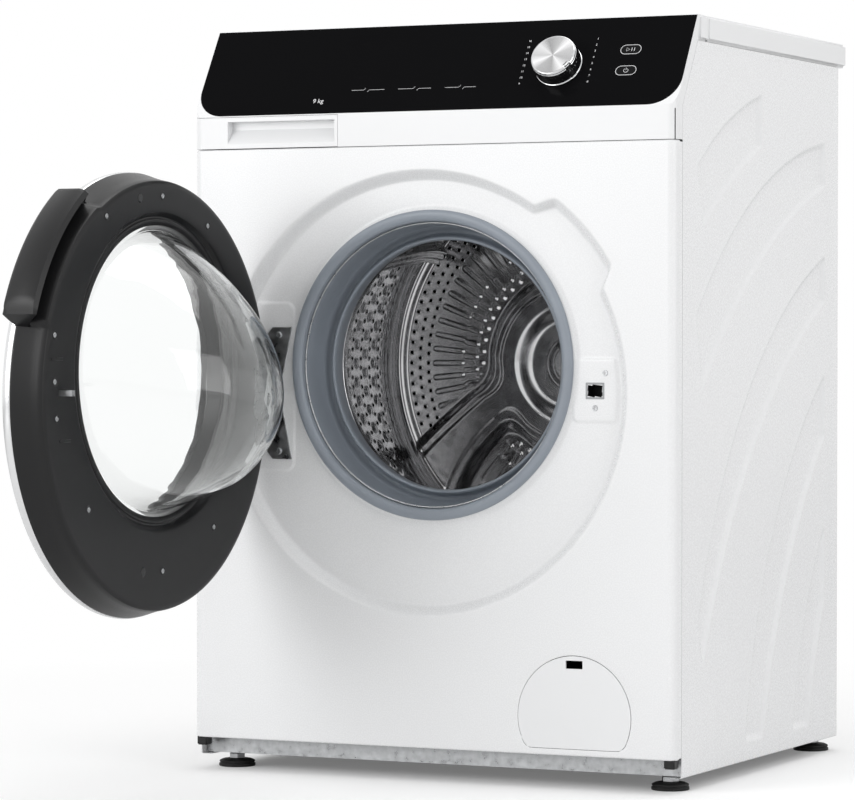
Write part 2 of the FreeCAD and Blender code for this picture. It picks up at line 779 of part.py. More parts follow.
def gasket():
    """Rubber door seal: front bead, sleeve, fold and tub lip."""
    w = gasket_wall
    r0, d0 = porthole_radius, gasket_lip_depth
    d1 = tub_front_depth - 20
    outline = [
        (r0 - 6 - w, d0 + 1), (r0 - 3, d0 - 1), (r0 + 2, d0 + 1), (r0 + 2, recess_depth - 4), (r0 - 6, recess_depth - 4),
        (r0 - 6 - gap, recess_depth + 8), (r0 - 16, d1 - 14), (r0 - 17, d1 - 2), (tub_mouth + 9, d1 - 2),
        (tub_mouth + 9, d1 + 14), (tub_mouth + 9 - w, d1 + 14), (tub_mouth + 9 - w, d1 + w),
        (drum_mouth - 4, d1 + w), (drum_mouth - 4, d1 + 16), (drum_mouth - 7, d1 + 16), (drum_mouth - 7, d1),
        (r0 - 20, d1 - 4), (r0 - 20, d1 - 15), (r0 - 6 - w - gap, recess_depth + 6),
    ]
    return turned(outline, 0, porthole_z)


def gasket_clamp():
    """Steel wire ring that holds the seal's sleeve inside the front collar."""
    inner = porthole_radius - 6 - gasket_wall - gap
    wire = gasket_wire / 2
    return Part.makeTorus(inner - wire - gap, wire, V(0, back(recess_depth - 2), porthole_z), V(0, 1, 0))


def tub_front():
    r, w = tub_radius, tub_wall
    d0 = tub_front_depth
    outline = [
        (tub_mouth, d0 - 14), (tub_mouth + w, d0 - 14), (tub_mouth + w, d0), (r - 14, d0), (r, d0 + 14),
        (r, tub_split - 8), (r + 8, tub_split - 8), (r + 8, tub_split), (r - w, tub_split),
        (r - w, d0 + w + 12), (r - w - 12, d0 + w), (tub_mouth, d0 + w),
    ]
    d = pump_inlet_depth
    sump = cylinder_z(sump_x(), d, sump_radius, sump_top() - 20, sump_top() + 20)
    sump = sump.cut(cylinder_y(0, porthole_z, r - w / 2, d0 - 20, tub_split))
    bore = cylinder_z(sump_x(), d, sump_radius - 4, sump_top() - 30, sump_top() + 60)
    return fuse([turned(outline, 0, porthole_z), sump]).cut(bore)


def tub_rear():
    r, w = tub_radius, tub_wall
    d1 = tub_rear_depth
    hub_in, hub_out = d1 - 16, pulley_depth - 6
    outline = [
        (bearing_radius, hub_in), (bearing_radius + 10, hub_in), (bearing_radius + 14, d1 - w),
        (r - w, d1 - w), (r - w, tub_split), (r + 8, tub_split), (r + 8, tub_split + 8), (r, tub_split + 8),
        (r, d1 - 8), (r - 8, d1), (bearing_radius + 12, d1), (bearing_radius + 8, hub_out), (bearing_radius, hub_out),
    ]
    tub = turned(outline, 0, porthole_z)
    ribs = []
    for i in range(12):
        rib = box(bearing_radius + 8, r - 20, d1 - 1, d1 + 8, porthole_z - 2, porthole_z + 2)
        rib.rotate(V(0, back(0), porthole_z), V(0, 1, 0), 30 * i + 15)
        ribs.append(rib)
    ears = []
    for side in (-1, 1):
        x, d = side * spring_x, suspension_depth
        z = porthole_z + tub_height_at(spring_x)
        ears.append(box(x - 12, x + 12, d - 14, d + 14, z - 8, z + 26).cut(tub_core()))
        x = side * damper_x
        z = porthole_z - tub_height_at(damper_x)
        ears.append(box(x - 14, x + 14, d - 14, d + 14, z - 22, z + 10).cut(tub_core()))
    x, d = dispenser_x(), spout_depth()
    z0 = porthole_z + tub_height_at(x)
    spout = cylinder_z(x, d, 16, z0 - 20, z0 + 40).cut(tub_core())
    motor_lugs = [
        box(motor_x + s * 40 - 8, motor_x + s * 40 + 8, d1 - 40, d1 - 24, motor_lug_z(), porthole_z - tub_radius + 40)
        for s in (-1, 1)
    ]
    solid = fuse([tub, *ribs, *ears, spout, *[lug.cut(tub_core()) for lug in motor_lugs]])
    return solid.cut(cylinder_z(x, d, 13, z0 - 60, z0 + 60))


def tub_core():
    """The tub's inner space, which nothing outside the tub may enter."""
    return cylinder_y(0, porthole_z, tub_radius - tub_wall / 2, tub_split, tub_rear_depth - tub_wall / 2)


def sump_x():
    return damper_x - 100


def sump_top():
    return porthole_z - tub_height_at(sump_x())


def drum_front():
    r = drum_radius
    d0 = drum_front_depth
    outline = [
        (drum_mouth, d0 - 4), (drum_mouth + 3, d0 - 6), (drum_mouth + 8, d0 - 2), (r - 10, d0 + 4), (r, d0 + 12),
        (r, d0 + 20), (r - drum_wall, d0 + 20), (r - drum_wall, d0 + 13), (r - 11, d0 + 6), (drum_mouth + 8, d0),
        (drum_mouth + 1, d0 + 6), (drum_mouth, d0 + 6),
    ]
    return turned(outline, 0, porthole_z)


def drum_shell():
    return tube_y(0, porthole_z, drum_radius, drum_radius - drum_wall, drum_front_depth + 20, drum_back_depth)


def drum_back():
    r, d0 = drum_radius, drum_back_depth
    outline = [(0, d0), (90, d0), (120, d0 + 6), (r - 12, d0 + 6), (r - 8, d0), (r, d0), (r, d0 + 1),
               (r - 7, d0 + 1), (r - 12, d0 + 7), (119, d0 + 7), (89, d0 + 1), (0, d0 + 1)]
    return turned(outline, 0, porthole_z)


def drum_lifters():
    """Hollow ridges that lift the laundry, bent a little along their length."""
    r = drum_radius - drum_wall
    lifters = []
    for i in range(lifter_count):
        d0, d1 = drum_front_depth + 26, drum_back_depth - 14
        foot, crest = 34.0, 11.0
        base = r - r * (1 - math.cos(foot / r)) - 0.2
        outline = [(-foot, base), (-foot * 0.55, r - lifter_height * 0.6), (-crest, r - lifter_height),
                   (crest, r - lifter_height), (foot * 0.55, r - lifter_height * 0.6), (foot, base)]
        outer = prism_y([(x, porthole_z + z) for x, z in outline], d0, d1)
        inner = prism_y([(x * 0.88, porthole_z + z + 3) for x, z in outline], d0 + 3, d1 - 3)
        lifter = outer.cut(inner)
        lifter.rotate(V(0, back(0), porthole_z), V(0, 1, 0), 360.0 / lifter_count * i + lifter_turn)
        lifters.append(lifter)
    return lifters


def drum_spider():
    """Three-armed aluminium cross behind the drum."""
    d0, d1 = drum_back_depth + 8, drum_back_depth + 22
    arms = []
    for i in range(3):
        arm = box(-14, 14, d0, d1, porthole_z + 20, porthole_z + drum_radius - 14)
        arm = arm.cut(box(-10, 10, d0 + 5, d1 + 1, porthole_z + 44, porthole_z + drum_radius - 20))
        arm.rotate(V(0, back(0), porthole_z), V(0, 1, 0), 120 * i)
        arms.append(arm)
    hub = cylinder_y(0, porthole_z, bearing_radius - 6, d0 - 6.5, drum_back_depth + 24)
    bore = cylinder_y(0, porthole_z, shaft_radius, d0 - 1, d1 + 20)
    return fuse([hub, *arms]).cut(bore)


def drum_shaft():
    return cylinder_y(0, porthole_z, shaft_radius, drum_back_depth + 8, pulley_depth + belt_width + 6)


def drum_bearings():
    outer = bearing_radius
    rings = []
    for d0 in (tub_rear_depth - 16, pulley_depth - 6 - bearing_width):
        race = tube_y(0, porthole_z, outer, shaft_radius + running, d0, d0 + bearing_width)
        groove = turned([(shaft_radius + 6, d0 - 1), (outer - 5, d0 - 1), (outer - 5, d0 + 2), (shaft_radius + 6, d0 + 2)],
                        0, porthole_z)
        rings.append(race.cut(groove))
    return rings


def drum_pulley():
    r, d0, d1 = pulley_radius, pulley_depth, pulley_depth + belt_width
    rim = tube_y(0, porthole_z, r, r - 8, d0, d1)
    spokes = []
    for i in range(5):
        spoke = box(-9, 9, d0 + 3, d1 - 3, porthole_z + 20, porthole_z + r - 4)
        spoke.rotate(V(0, back(0), porthole_z), V(0, 1, 0), 72 * i)
        spokes.append(spoke)
    hub = cylinder_y(0, porthole_z, 26, d0 - 4, d1)
    return fuse([rim, hub, *spokes]).cut(cylinder_y(0, porthole_z, shaft_radius, d0 - 6, d1 + 6))


def belt_loop(extra, d0, d1):
    """Closed outline round the two pulleys, grown by extra."""
    big, small = pulley_radius + extra, motor_pulley_radius + extra
    dx, dz = motor_x, motor_z - porthole_z
    span = math.hypot(dx, dz)
    tilt = math.atan2(dz, dx)
    spread = math.acos((big - small) / span)
    def at(cx, cz, r, a):
        return V(cx + r * math.cos(a), back(d0), cz + r * math.sin(a))
    a, b = tilt + spread, tilt - spread
    centre = (0, porthole_z)
    motor = (motor_x, motor_z)
    edges = [
        Part.Arc(at(*centre, big, a), at(*centre, big, tilt + math.pi), at(*centre, big, b)).toShape(),
        Part.makeLine(at(*centre, big, b), at(*motor, small, b)),
        Part.Arc(at(*motor, small, b), at(*motor, small, tilt), at(*motor, small, a)).toShape(),
        Part.makeLine(at(*motor, small, a), at(*centre, big, a)),
    ]
    return Part.Face(Part.Wire(edges)).extrude(V(0, d1 - d0, 0))


def drive_belt():
    d0, d1 = pulley_depth + 0.5, pulley_depth + belt_width - 0.5
    return belt_loop(gap + belt_thickness, d0, d1).cut(belt_loop(gap, d0 - 1, d1 + 1))


def motor_lug_z():
    return motor_z + motor_radius + 3


def drive_motor():
    d0, d1 = tub_rear_depth - 90, pulley_depth - 14
    body = cylinder_y(motor_x, motor_z, motor_radius, d0, d1 - 16)
    cap = Part.makeCone(motor_radius - 6, 30, 12, V(motor_x, back(d1 - 16), motor_z), V(0, 1, 0))
    lug = tub_rear_depth - 40
    ears = [box(motor_x + s * 40 - 8, motor_x + s * 40 + 8, lug, lug + 16, motor_z + 20, motor_lug_z()) for s in (-1, 1)]
    slots = [cylinder_y(motor_x + 44 * math.cos(a), motor_z + 44 * math.sin(a), 6, d0 - 1, d0 + 20)
             for a in (math.radians(60 * i) for i in range(6))]
    solid = fuse([body, cap, *ears]).cut(cylinder_y(motor_x, motor_z, 7 + running, d0 + 30, d1 + 10))
    for slot in slots:
        solid = solid.cut(slot)
    return solid


def motor_pulley():
    """Rotor shaft with the small grooved pulley on its end."""
    shaft = cylinder_y(motor_x, motor_z, 7, tub_rear_depth - 58, pulley_depth - 2)
    pulley = cylinder_y(motor_x, motor_z, motor_pulley_radius, pulley_depth - 2, pulley_depth + belt_width)
    return fuse([shaft, pulley])


def front_counterweight():
    """Concrete crescent bolted to the lower front of the tub."""
    d1 = tub_front_depth
    d0 = d1 - counterweight_thickness
    inner = tub_mouth + 20
    return turned([(inner, d0), (tub_radius - 8, d0), (tub_radius - 8, d1), (inner, d1)], 0, porthole_z, 150, 195)


def upper_counterweight():
    """Concrete block on top of the tub, hollowed to the tub's curve."""
    z0 = porthole_z + tub_height_at(120) - 6
    z1 = porthole_z + tub_radius + 52
    block = box(-90, 170, tub_split + 12, tub_split + 150, z0, z1)
    edges = [e for e in block.Edges if abs(e.tangentAt(0).z) > 0.99]
    block = block.makeFillet(18, edges)
    return block.cut(cylinder_y(0, porthole_z, tub_radius + gap, 0, side_depth))


def heater():
    """Tubular heater in the tub's bottom, entering through the rear wall."""
    z = porthole_z - tub_radius + tub_wall + 3.2
    bars = [cylinder_y(x, z, 2.2, tub_rear_depth - 190, tub_rear_depth - tub_wall) for x in (-12, 12)]
    bend = box(-12, 12, tub_rear_depth - 192, tub_rear_depth - 188, z - 1.8, z + 1.8)
    return fuse([*bars, bend])


# suspension

def spring_ends():
    ear_top = porthole_z + tub_height_at(spring_x) + 26
    return ear_top + gap, rail_hook_z() - gap


def rail_hook_z():
    return side_top - 12.0


def suspension_springs():
    """Closed-wound tension springs, each as a tube of its coil's outer size with end plugs."""
    z0, z1 = spring_ends()
    springs = []
    for side in (-1, 1):
        coil = tube_z(side * spring_x, suspension_depth, spring_radius, spring_radius - spring_wire * 2, z0 + 10, z1 - 10)
        ends = [cylinder_z(side * spring_x, suspension_depth, 4, a, b) for a, b in ((z0, z0 + 12), (z1 - 12, z1))]
        caps = [cylinder_z(side * spring_x, suspension_depth, spring_radius - 2, a, b)
                for a, b in ((z0 + 10, z0 + 12), (z1 - 12, z1 - 10))]
        springs.append(fuse([coil, *ends, *caps]))
    return springs


def top_rails():
    """Two cross rails between the side panels; the rear one carries the springs' hooks."""
    rails = []
    inner = half - sheet - seam
    z1 = side_top - sheet
    for d in (suspension_depth, side_depth - 60):
        web = box(-inner, inner, d - 14, d + 14, z1 - 1.5, z1)
        wall = box(-inner, inner, d + 12.5, d + 14, z1 - 16, z1)
        hooks = [box(s * spring_x - 8, s * spring_x + 8, d - 10, d + 13, rail_hook_z(), z1 - 1)
                 for s in (-1, 1)] if d == suspension_depth else []
        rails.append(fuse([web, wall, *hooks]))
    return rails


def damper_bodies():
    bodies = []
    for side in (-1, 1):
        x, d = side * damper_x, suspension_depth
        top = damper_top()
        barrel = cylinder_z(x, d, damper_radius, rail_top, top)
        bore = cylinder_z(x, d, rod_radius + running, rail_top + 12, top + 1)
        bodies.append(barrel.cut(bore))
    return bodies


def damper_top():
    return porthole_z - tub_height_at(damper_x) - 22 - tub_travel_down - 20


def damper_rods():
    rods = []
    for side in (-1, 1):
        z1 = porthole_z - tub_height_at(damper_x) - 22
        rods.append(cylinder_z(side * damper_x, suspension_depth, rod_radius, damper_top() - 50, z1))
    return rods


# base, feet, pump

def rail(depth, foot_depth=None):
    inner = half - sheet - seam
    d0, d1 = depth - rail_half, depth + rail_half
    z0, z1, t = side_bottom + sheet, rail_top, rail_sheet
    solid = box(-inner, inner, d0, d1, z0, z1).cut(box(-inner - 1, inner + 1, d0 + t, d1 - t, z0 - 1, z1 - t))
    for side in (-1, 1):
        if foot_depth:
            boss = cylinder_z(side * foot_x, foot_depth, stud_radius + 6, z1 - 14, z1)
            solid = solid.fuse(boss).cut(cylinder_z(side * foot_x, foot_depth, stud_radius + running, z0 - 5, z1 + 5))
    return solid.removeSplitter()


def base_rails():
    rear = side_depth - 2 * sheet - 2 * seam - rail_half - gap
    return [rail(foot_front_depth, foot_front_depth), rail(suspension_depth), rail(rear, rear_foot_depth)]


def foot(side, depth):
    x = side * foot_x
    pad = Part.makeCone(foot_radius, foot_radius - 4, foot_pad, V(x, back(depth), 0))
    flat = foot_flats / 2
    corner = flat / math.cos(math.pi / 6)
    points = [V(x + corner * math.cos(math.pi / 3 * i), back(depth) + corner * math.sin(math.pi / 3 * i), foot_pad)
              for i in range(6)]
    nut = face_of(points).extrude(V(0, 0, 6))
    stud = cylinder_z(x, depth, stud_radius, foot_pad, rail_top - 2)
    return fuse([pad, nut, stud])


def flap_shape(grow, d0, d1):
    """D-shaped service flap: a circle cut off flat at its bottom with rounded corners."""
    r = flap_radius + grow
    floor = flap_flat - grow
    circle = cylinder_y(flap_x, flap_z, r, d0, d1)
    solid = circle.common(box(flap_x - 200, flap_x + 200, d0, d1, floor, flap_z + 200))
    edges = [e for e in solid.Edges if abs(e.tangentAt(e.FirstParameter).y) > 0.99 and e.CenterOfMass.z < floor + 1]
    return solid.makeFillet(12.0, edges)


def flap_pins(radius, reach):
    """The stub pins at the flap's lower corners, inside its thickness."""
    r = flap_radius
    side = math.sqrt(r * r - (flap_z - flap_flat) ** 2) - 10
    return [Part.makeCylinder(radius, reach, V(flap_x + (side if s > 0 else -side - reach), back(flap_thickness / 2),
                                               flap_flat + flap_thickness / 2), V(1, 0, 0)) for s in (-1, 1)]


def flap_swing_relief():
    """Extra room at the hole's lower corners, where the flap's wider part passes as it swings open."""
    corner = box(flap_x - flap_radius, flap_x + flap_radius, -1, sheet + 1, flap_flat - 2 * gap,
                 flap_flat + flap_relief_height)
    return flap_shape(flap_relief, -1, sheet + 1).common(corner)


def flap_lugs():
    """Small lugs behind the front panel that hold the flap's pins."""
    r = flap_radius
    side = math.sqrt(r * r - (flap_z - flap_flat) ** 2) + 1
    z = flap_flat + flap_thickness / 2
    return [box(flap_x + (side if s > 0 else -side - 4), flap_x + (side + 4 if s > 0 else -side), sheet / 2, 4,
                z - 4, z + 1.4) for s in (-1, 1)]


def service_flap():
    flap = flap_shape(0, 0, flap_thickness)
    pull = box(flap_x - 10, flap_x + 10, -1, flap_thickness + 1, flap_z + 53, flap_z + 62)
    return fuse([flap.cut(pull), *flap_pins(flap_pin_radius, 14)])


def drain_pump():
    """Filter barrel, volute and motor of the drain pump, standing on the front base rail."""
    x, z = flap_x, pump_z
    barrel = cylinder_y(x, z, pump_radius, 14, pump_depth)
    volute = cylinder_y(x, z, volute_radius, pump_depth - 12, pump_depth + 20)
    motor = box(x - 26, x + 26, pump_depth + 19, pump_depth + 74, z - 26, z + 26)
    leg = box(x - 14, x + 14, foot_front_depth - rail_half + 6, foot_front_depth + rail_half - 6, rail_top, z)
    outlet = cylinder_z(x, pump_depth + 4, pipe_radius, z, z + volute_radius + 14)
    inlet = Part.makeCylinder(20, 40, V(x - pump_radius + 18, back(pump_inlet_depth), z), inlet_way())
    solid = fuse([barrel, volute, motor, leg, outlet, inlet])
    solid = solid.cut(cylinder_y(x, z, filter_radius, 13, pump_depth - 20))
    solid = solid.cut(cylinder_y(x, z, impeller_radius + 4, pump_depth - 21, pump_depth + 12))
    solid = solid.cut(cylinder_y(x, z, 3 + running, pump_depth + 10, pump_depth + 40))
    bore = Part.makeCylinder(16, 50, V(x - pump_radius + 22, back(pump_inlet_depth), z), inlet_way())
    return solid.cut(bore).cut(cylinder_z(x, pump_depth + 4, pipe_radius - pipe_wall, z + 10, z + 80))


def pump_impeller():
    x, z = flap_x, pump_z
    blades = []
    for i in range(6):
        blade = box(x - 1.2, x + 1.2, pump_depth - 12, pump_depth + 8, z + 4, z + impeller_radius)
        blade.rotate(V(x, back(0), z), V(0, 1, 0), 60 * i)
        blades.append(blade)
    hub = cylinder_y(x, z, 7, pump_depth - 12, pump_depth + 10)
    return fuse([hub, *blades, cylinder_y(x, z, 3, pump_depth + 8, pump_depth + 36)])


def pump_filter():
    """Screw-in fluff filter: the cap with its grip bar and the perforated basket."""
    x, z = flap_x, pump_z
    cap = cylinder_y(x, z, pump_radius, 10, 14 - gap)
    grip = box(x - 20, x + 20, flap_thickness + 3.5, 10.5, z - 3, z + 3)
    basket = tube_y(x, z, filter_radius - running, filter_radius - 3, 13, pump_depth - 24)
    windows = [box(x - 40, x + 40, d, d + 14, z - 8, z + 8) for d in (34, 56)]
    for window in windows:
        basket = basket.cut(window)
    return fuse([cap, grip, basket])


def pipe_along(points, bend, radius):
    """A round bar along straight runs joined by tangent arcs."""
    edges, start = [], points[0]
    for i in range(1, len(points) - 1):
        before = (points[i] - points[i - 1]).normalize()
        after = (points[i + 1] - points[i]).normalize()
        turn = before.getAngle(after)
        cut = bend * math.tan(turn / 2)
        a, b = points[i] - before * cut, points[i] + after * cut
        centre_way = (after - before).normalize()
        middle = points[i] + centre_way * (bend / math.cos(turn / 2) - bend)
        edges += [Part.makeLine(start, a), Part.Arc(a, middle, b).toShape()]
        start = b
    edges.append(Part.makeLine(start, points[-1]))
    direction = points[1] - points[0]
    ring = Part.Wire(Part.makeCircle(radius, points[0], direction))
    return Part.Wire(edges).makePipeShell([ring], True, True)


def drain_pipe():
    """Hose from the pump's outlet to the spigot through the rear panel."""
    x, d = flap_x, pump_depth + 4
    z0 = pump_z + volute_radius + 14 + gap
    z1 = z0 + 46
    route = [V(x, back(d), z0), V(x, back(d), z1), V(outlet_x, back(d), z1), V(outlet_x, back(side_depth - 44), z1),
             V(outlet_x, back(side_depth - 44), outlet_z), V(outlet_x, back(side_depth + spigot_length), outlet_z)]
    shoulder = cylinder_y(outlet_x, outlet_z, pipe_radius + spigot_shoulder, side_depth - 8, side_depth)
    outer = fuse([pipe_along(route, 22, pipe_radius), shoulder])
    inner = pipe_along(route, 22, pipe_radius - pipe_wall)
    return outer.cut(inner)


def pump_inlet_mouth():
    """Centre of the pump's inlet mouth, which faces up and to the left."""
    return V(flap_x - pump_radius + 18, back(pump_inlet_depth), pump_z) + inlet_way() * 40


def inlet_way():
    return V(-1, 0, 0.9).normalize()


def sump_hose():
    """Rubber bellows from the tub's sump down to the pump's inlet."""
    top = V(sump_x(), back(pump_inlet_depth), sump_top() - 20 - gap)
    end = pump_inlet_mouth() + inlet_way() * gap
    middle = V(sump_x(), top.y, end.z + (end.x - sump_x()) * 0.9)
    route = [top, middle, end]
    return pipe_along(route, 20, sump_radius - gap - 1).cut(pipe_along(route, 20, sump_radius - 5))


def mains_gland():
    d0 = side_depth - 2 * sheet - seam - 4
    body = fuse([cylinder_y(gland_x, gland_z, 6.2, d0, side_depth + 4), cylinder_y(gland_x, gland_z, 9, side_depth - sheet - seam,
                                                                            side_depth + 2),
                 cylinder_y(gland_x, gland_z, 9, d0 - 3, d0 + 4 - sheet)])
    return body.cut(cylinder_y(gland_x, gland_z, 3.6, d0 - 4, side_depth + 5))


def main():
    os.makedirs("parts", exist_ok=True)
    save("left_side_panel", side_panel(-1))
    save("right_side_panel", side_panel(1))
    save("rear_panel", rear_panel())
    save("rear_cover", rear_cover())
    save("front_panel", front_panel())
    save("worktop", worktop())
    save("control_fascia", control_fascia())
    save("control_panel", control_panel())
    save("control_board", control_board())
    save("program_knob", program_knob())
    save("start_key", key(key_along[1]))
    save("power_key", key(key_along[0]))
    save("drawer_front", drawer_front())
    save("drawer_tray", drawer_tray())
    save("dispenser_housing", dispenser_housing())
    save("fill_bellows", fill_bellows())
    save("inlet_valve", inlet_valve())
    save("inlet_hose", inlet_hose())
    save("door_rim", door_rim())
    save("door_frame", door_frame())
    save("door_glass", door_glass())
    save("door_hook", door_hook())
    save("hinge_arm", hinge_arm())
    save("hinge_bracket", hinge_bracket())
    save("front_screws", *front_screws())
    save("door_lock", door_lock())
    save("gasket", gasket())
    save("gasket_clamp", gasket_clamp())
    save("tub_front", tub_front())
    save("tub_rear", tub_rear())
    save("front_counterweight", front_counterweight())
    save("upper_counterweight", upper_counterweight())
    save("heater", heater())
    save("drum_front", drum_front())
    save("drum_shell", drum_shell())
    save("drum_back", drum_back())
    save("drum_lifters", *drum_lifters())
    save("drum_spider", drum_spider())
    save("drum_shaft", drum_shaft())
    save("drum_bearings", *drum_bearings())
    save("drum_pulley", drum_pulley())
    save("drive_belt", drive_belt())
    save("drive_motor", drive_motor())
    save("motor_pulley", motor_pulley())
    save("suspension_springs", *suspension_springs())
    save("top_rails", *top_rails())
    save("damper_bodies", *damper_bodies())
    save("damper_rods", *damper_rods())
    save("base_rails", *base_rails())
    for side, hand in ((-1, "left"), (1, "right")):
        save("foot_front_" + hand, foot(side, foot_front_depth))
        save("foot_rear_" + hand, foot(side, rear_foot_depth))
    save("service_flap", service_flap())
    save("drain_pump", drain_pump())
    save("pump_impeller", pump_impeller())
    save("pump_filter", pump_filter())
    save("drain_pipe", drain_pipe())
    save("sump_hose", sump_hose())
    save("mains_gland", mains_gland())


main()
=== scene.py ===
import json
import math
import bmesh
import bpy
import numpy as np
from mathutils import Matrix, Vector


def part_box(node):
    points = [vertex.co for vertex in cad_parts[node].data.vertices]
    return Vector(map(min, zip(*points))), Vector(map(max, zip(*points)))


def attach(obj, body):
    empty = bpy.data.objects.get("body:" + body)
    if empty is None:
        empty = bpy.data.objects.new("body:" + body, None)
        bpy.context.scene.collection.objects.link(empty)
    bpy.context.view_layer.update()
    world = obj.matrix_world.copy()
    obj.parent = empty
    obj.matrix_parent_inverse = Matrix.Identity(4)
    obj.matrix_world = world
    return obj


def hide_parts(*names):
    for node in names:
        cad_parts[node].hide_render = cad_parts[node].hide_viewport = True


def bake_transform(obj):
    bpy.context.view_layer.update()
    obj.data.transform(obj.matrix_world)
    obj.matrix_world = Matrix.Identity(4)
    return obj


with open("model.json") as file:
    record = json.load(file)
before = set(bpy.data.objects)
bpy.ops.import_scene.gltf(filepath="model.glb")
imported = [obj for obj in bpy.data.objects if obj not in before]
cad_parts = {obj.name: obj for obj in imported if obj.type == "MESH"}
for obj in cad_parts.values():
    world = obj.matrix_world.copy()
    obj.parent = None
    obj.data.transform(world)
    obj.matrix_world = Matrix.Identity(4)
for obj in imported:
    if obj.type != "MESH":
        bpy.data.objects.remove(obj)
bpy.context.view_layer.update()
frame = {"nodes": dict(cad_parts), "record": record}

scene = bpy.context.scene
jointOf = {joint["name"]: joint for joint in frame["record"]["behaviour"]["joints"]}

frontLow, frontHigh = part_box("front_panel")
frontY = frontLow[1]                                   # the front panel's face
sideLow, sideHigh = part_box("right_side_panel")
half = sideHigh[0] * 1000
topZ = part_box("worktop")[1][2] * 1000
sideTop = sideHigh[2] * 1000
sideBottom = sideLow[2] * 1000
sideFront = (sideLow[1] - frontY) * 1000
sideBack = (sideHigh[1] - frontY) * 1000
drumZ = jointOf["drum_spin"]["pos_m"][2] * 1000
hingePin = Vector(jointOf["door_hinge"]["pos_m"])
openAngle = math.radians(jointOf["door_hinge"]["range_deg"][1])
print("frame loaded")


# places and mesh tools, in millimetres: x to the right, depth back from the front panel, z up

def at(x, depth, z):
    return (x * 0.001, frontY + depth * 0.001, z * 0.001)


def swungOpen(point):
    p = Vector(point) - hingePin
    return Matrix.Rotation(-openAngle, 3, "Z") @ p + hingePin


def softStep(value):
    t = np.clip(value, 0.0, 1.0)
    return t * t * (3 - 2 * t)


def softProfile(points, radius, steps=4, closed=False):
    out = []
    count = len(points)
    for i, point in enumerate(points):
        if not closed and i in (0, count - 1):
            out.append(tuple(point))
            continue
        here = Vector(point)
        before, after = Vector(points[i - 1]), Vector(points[(i + 1) % count])
        reachIn = min(radius, (before - here).length * 0.45)
        reachOut = min(radius, (after - here).length * 0.45)
        a = here + (before - here).normalized() * reachIn
        b = here + (after - here).normalized() * reachOut
        for k in range(steps + 1):
            t = k / steps
            out.append(tuple(a * (1 - t) ** 2 + here * 2 * t * (1 - t) + b * t * t))
    return out


def addPiece(name, verts, faces, material, body, sharp=38, solid=True, place=None, merge=True):
    mesh = bpy.data.meshes.new(name)
    mesh.from_pydata([tuple(v) for v in verts], [], [tuple(f) for f in faces])
    bm = bmesh.new()
    bm.from_mesh(mesh)
    if merge:
        bmesh.ops.remove_doubles(bm, verts=bm.verts, dist=2e-6)
    if solid:
        bmesh.ops.recalc_face_normals(bm, faces=bm.faces)
    limit = math.radians(sharp)
    for face in bm.faces:
        face.smooth = True
    for edge in bm.edges:
        if len(edge.link_faces) == 2 and edge.calc_face_angle(0.0) > limit:
            edge.smooth = False
    bm.to_mesh(mesh)
    bm.free()
    piece = bpy.data.objects.new(name, mesh)
    scene.collection.objects.link(piece)
    mesh.materials.append(material)
    if place is not None:
        piece.matrix_world = place
    if body:
        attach(piece, body)
    return piece


def gridFaces(rows, columns, wrapColumns=False, wrapRows=False, flip=False):
    r, c = np.meshgrid(np.arange(rows if wrapRows else rows - 1),
                       np.arange(columns if wrapColumns else columns - 1), indexing="ij")
    r, c = r.ravel(), c.ravel()
    r2, c2 = (r + 1) % rows, (c + 1) % columns
    quads = np.stack([r * columns + c, r * columns + c2, r2 * columns + c2, r2 * columns + c], axis=1)
    return (quads[:, ::-1] if flip else quads).tolist()


def turned(name, profile, centre, material, body, steps=220, closed=False, door=False, sharp=38,
           sweep=None):
    # a (radius, depth) profile turned round a front-to-back axis
    x, z = centre
    angles = np.linspace(0, 2 * math.pi, steps, endpoint=False) if sweep is None else \
        np.radians(np.linspace(sweep[0], sweep[1], steps))
    verts = [at(x + r * math.cos(a), d, z + r * math.sin(a)) for r, d in profile for a in angles]
    if door:
        verts = [swungOpen(v) for v in verts]
    faces = gridFaces(len(profile), len(angles), wrapColumns=sweep is None, wrapRows=closed)
    if sweep is not None and closed:
        count = len(angles)
        faces.append([k * count for k in range(len(profile))])
        faces.append([k * count + count - 1 for k in reversed(range(len(profile)))])
    return addPiece(name, verts, faces, material, body, sharp)


def turnedUp(name, profile, centre, material, body, steps=64, sharp=38, shape=None):
    # a (radius, height) profile turned round an upright axis
    x, depth = centre
    verts = []
    for r, z in profile:
        for k in range(steps):
            a = 2 * math.pi * k / steps
            grow = shape(a) if shape else 1.0
            verts.append(at(x + r * grow * math.cos(a), depth + r * grow * math.sin(a), z))
    faces = gridFaces(len(profile), steps, wrapColumns=True)
    faces.append(list(range(steps)))
    faces.append([(len(profile) - 1) * steps + k for k in reversed(range(steps))])
    return addPiece(name, verts, faces, material, body, sharp)


def cutBox(name, x, depth, z, material, body, edge=0.6, door=False, turn=0.0):
    # a box with rounded edges; each of x, depth, z is a (low, high) pair
    bm = bmesh.new()
    bmesh.ops.create_cube(bm, size=1.0)
    mid = [(p[0] + p[1]) / 2 for p in (x, depth, z)]
    size = [p[1] - p[0] for p in (x, depth, z)]
    spin = Matrix.Rotation(math.radians(turn), 3, "Y")
    for v in bm.verts:
        v.co = Vector([c * s for c, s in zip(v.co, size)])
    bmesh.ops.bevel(bm, geom=list(bm.edges), offset=min(edge, min(size) * 0.45), segments=3, affect="EDGES")
    bm.verts.ensure_lookup_table()
    verts = []
    for v in bm.verts:
        c = spin @ v.co
        p = at(mid[0] + c.x, mid[1] + c.y, mid[2] + c.z)
        verts.append(swungOpen(p) if door else p)
    bm.verts.index_update()
    faces = [[v.index for v in f.verts] for f in bm.faces]
    bm.free()
    return addPiece(name, verts, faces, material, body, 50)


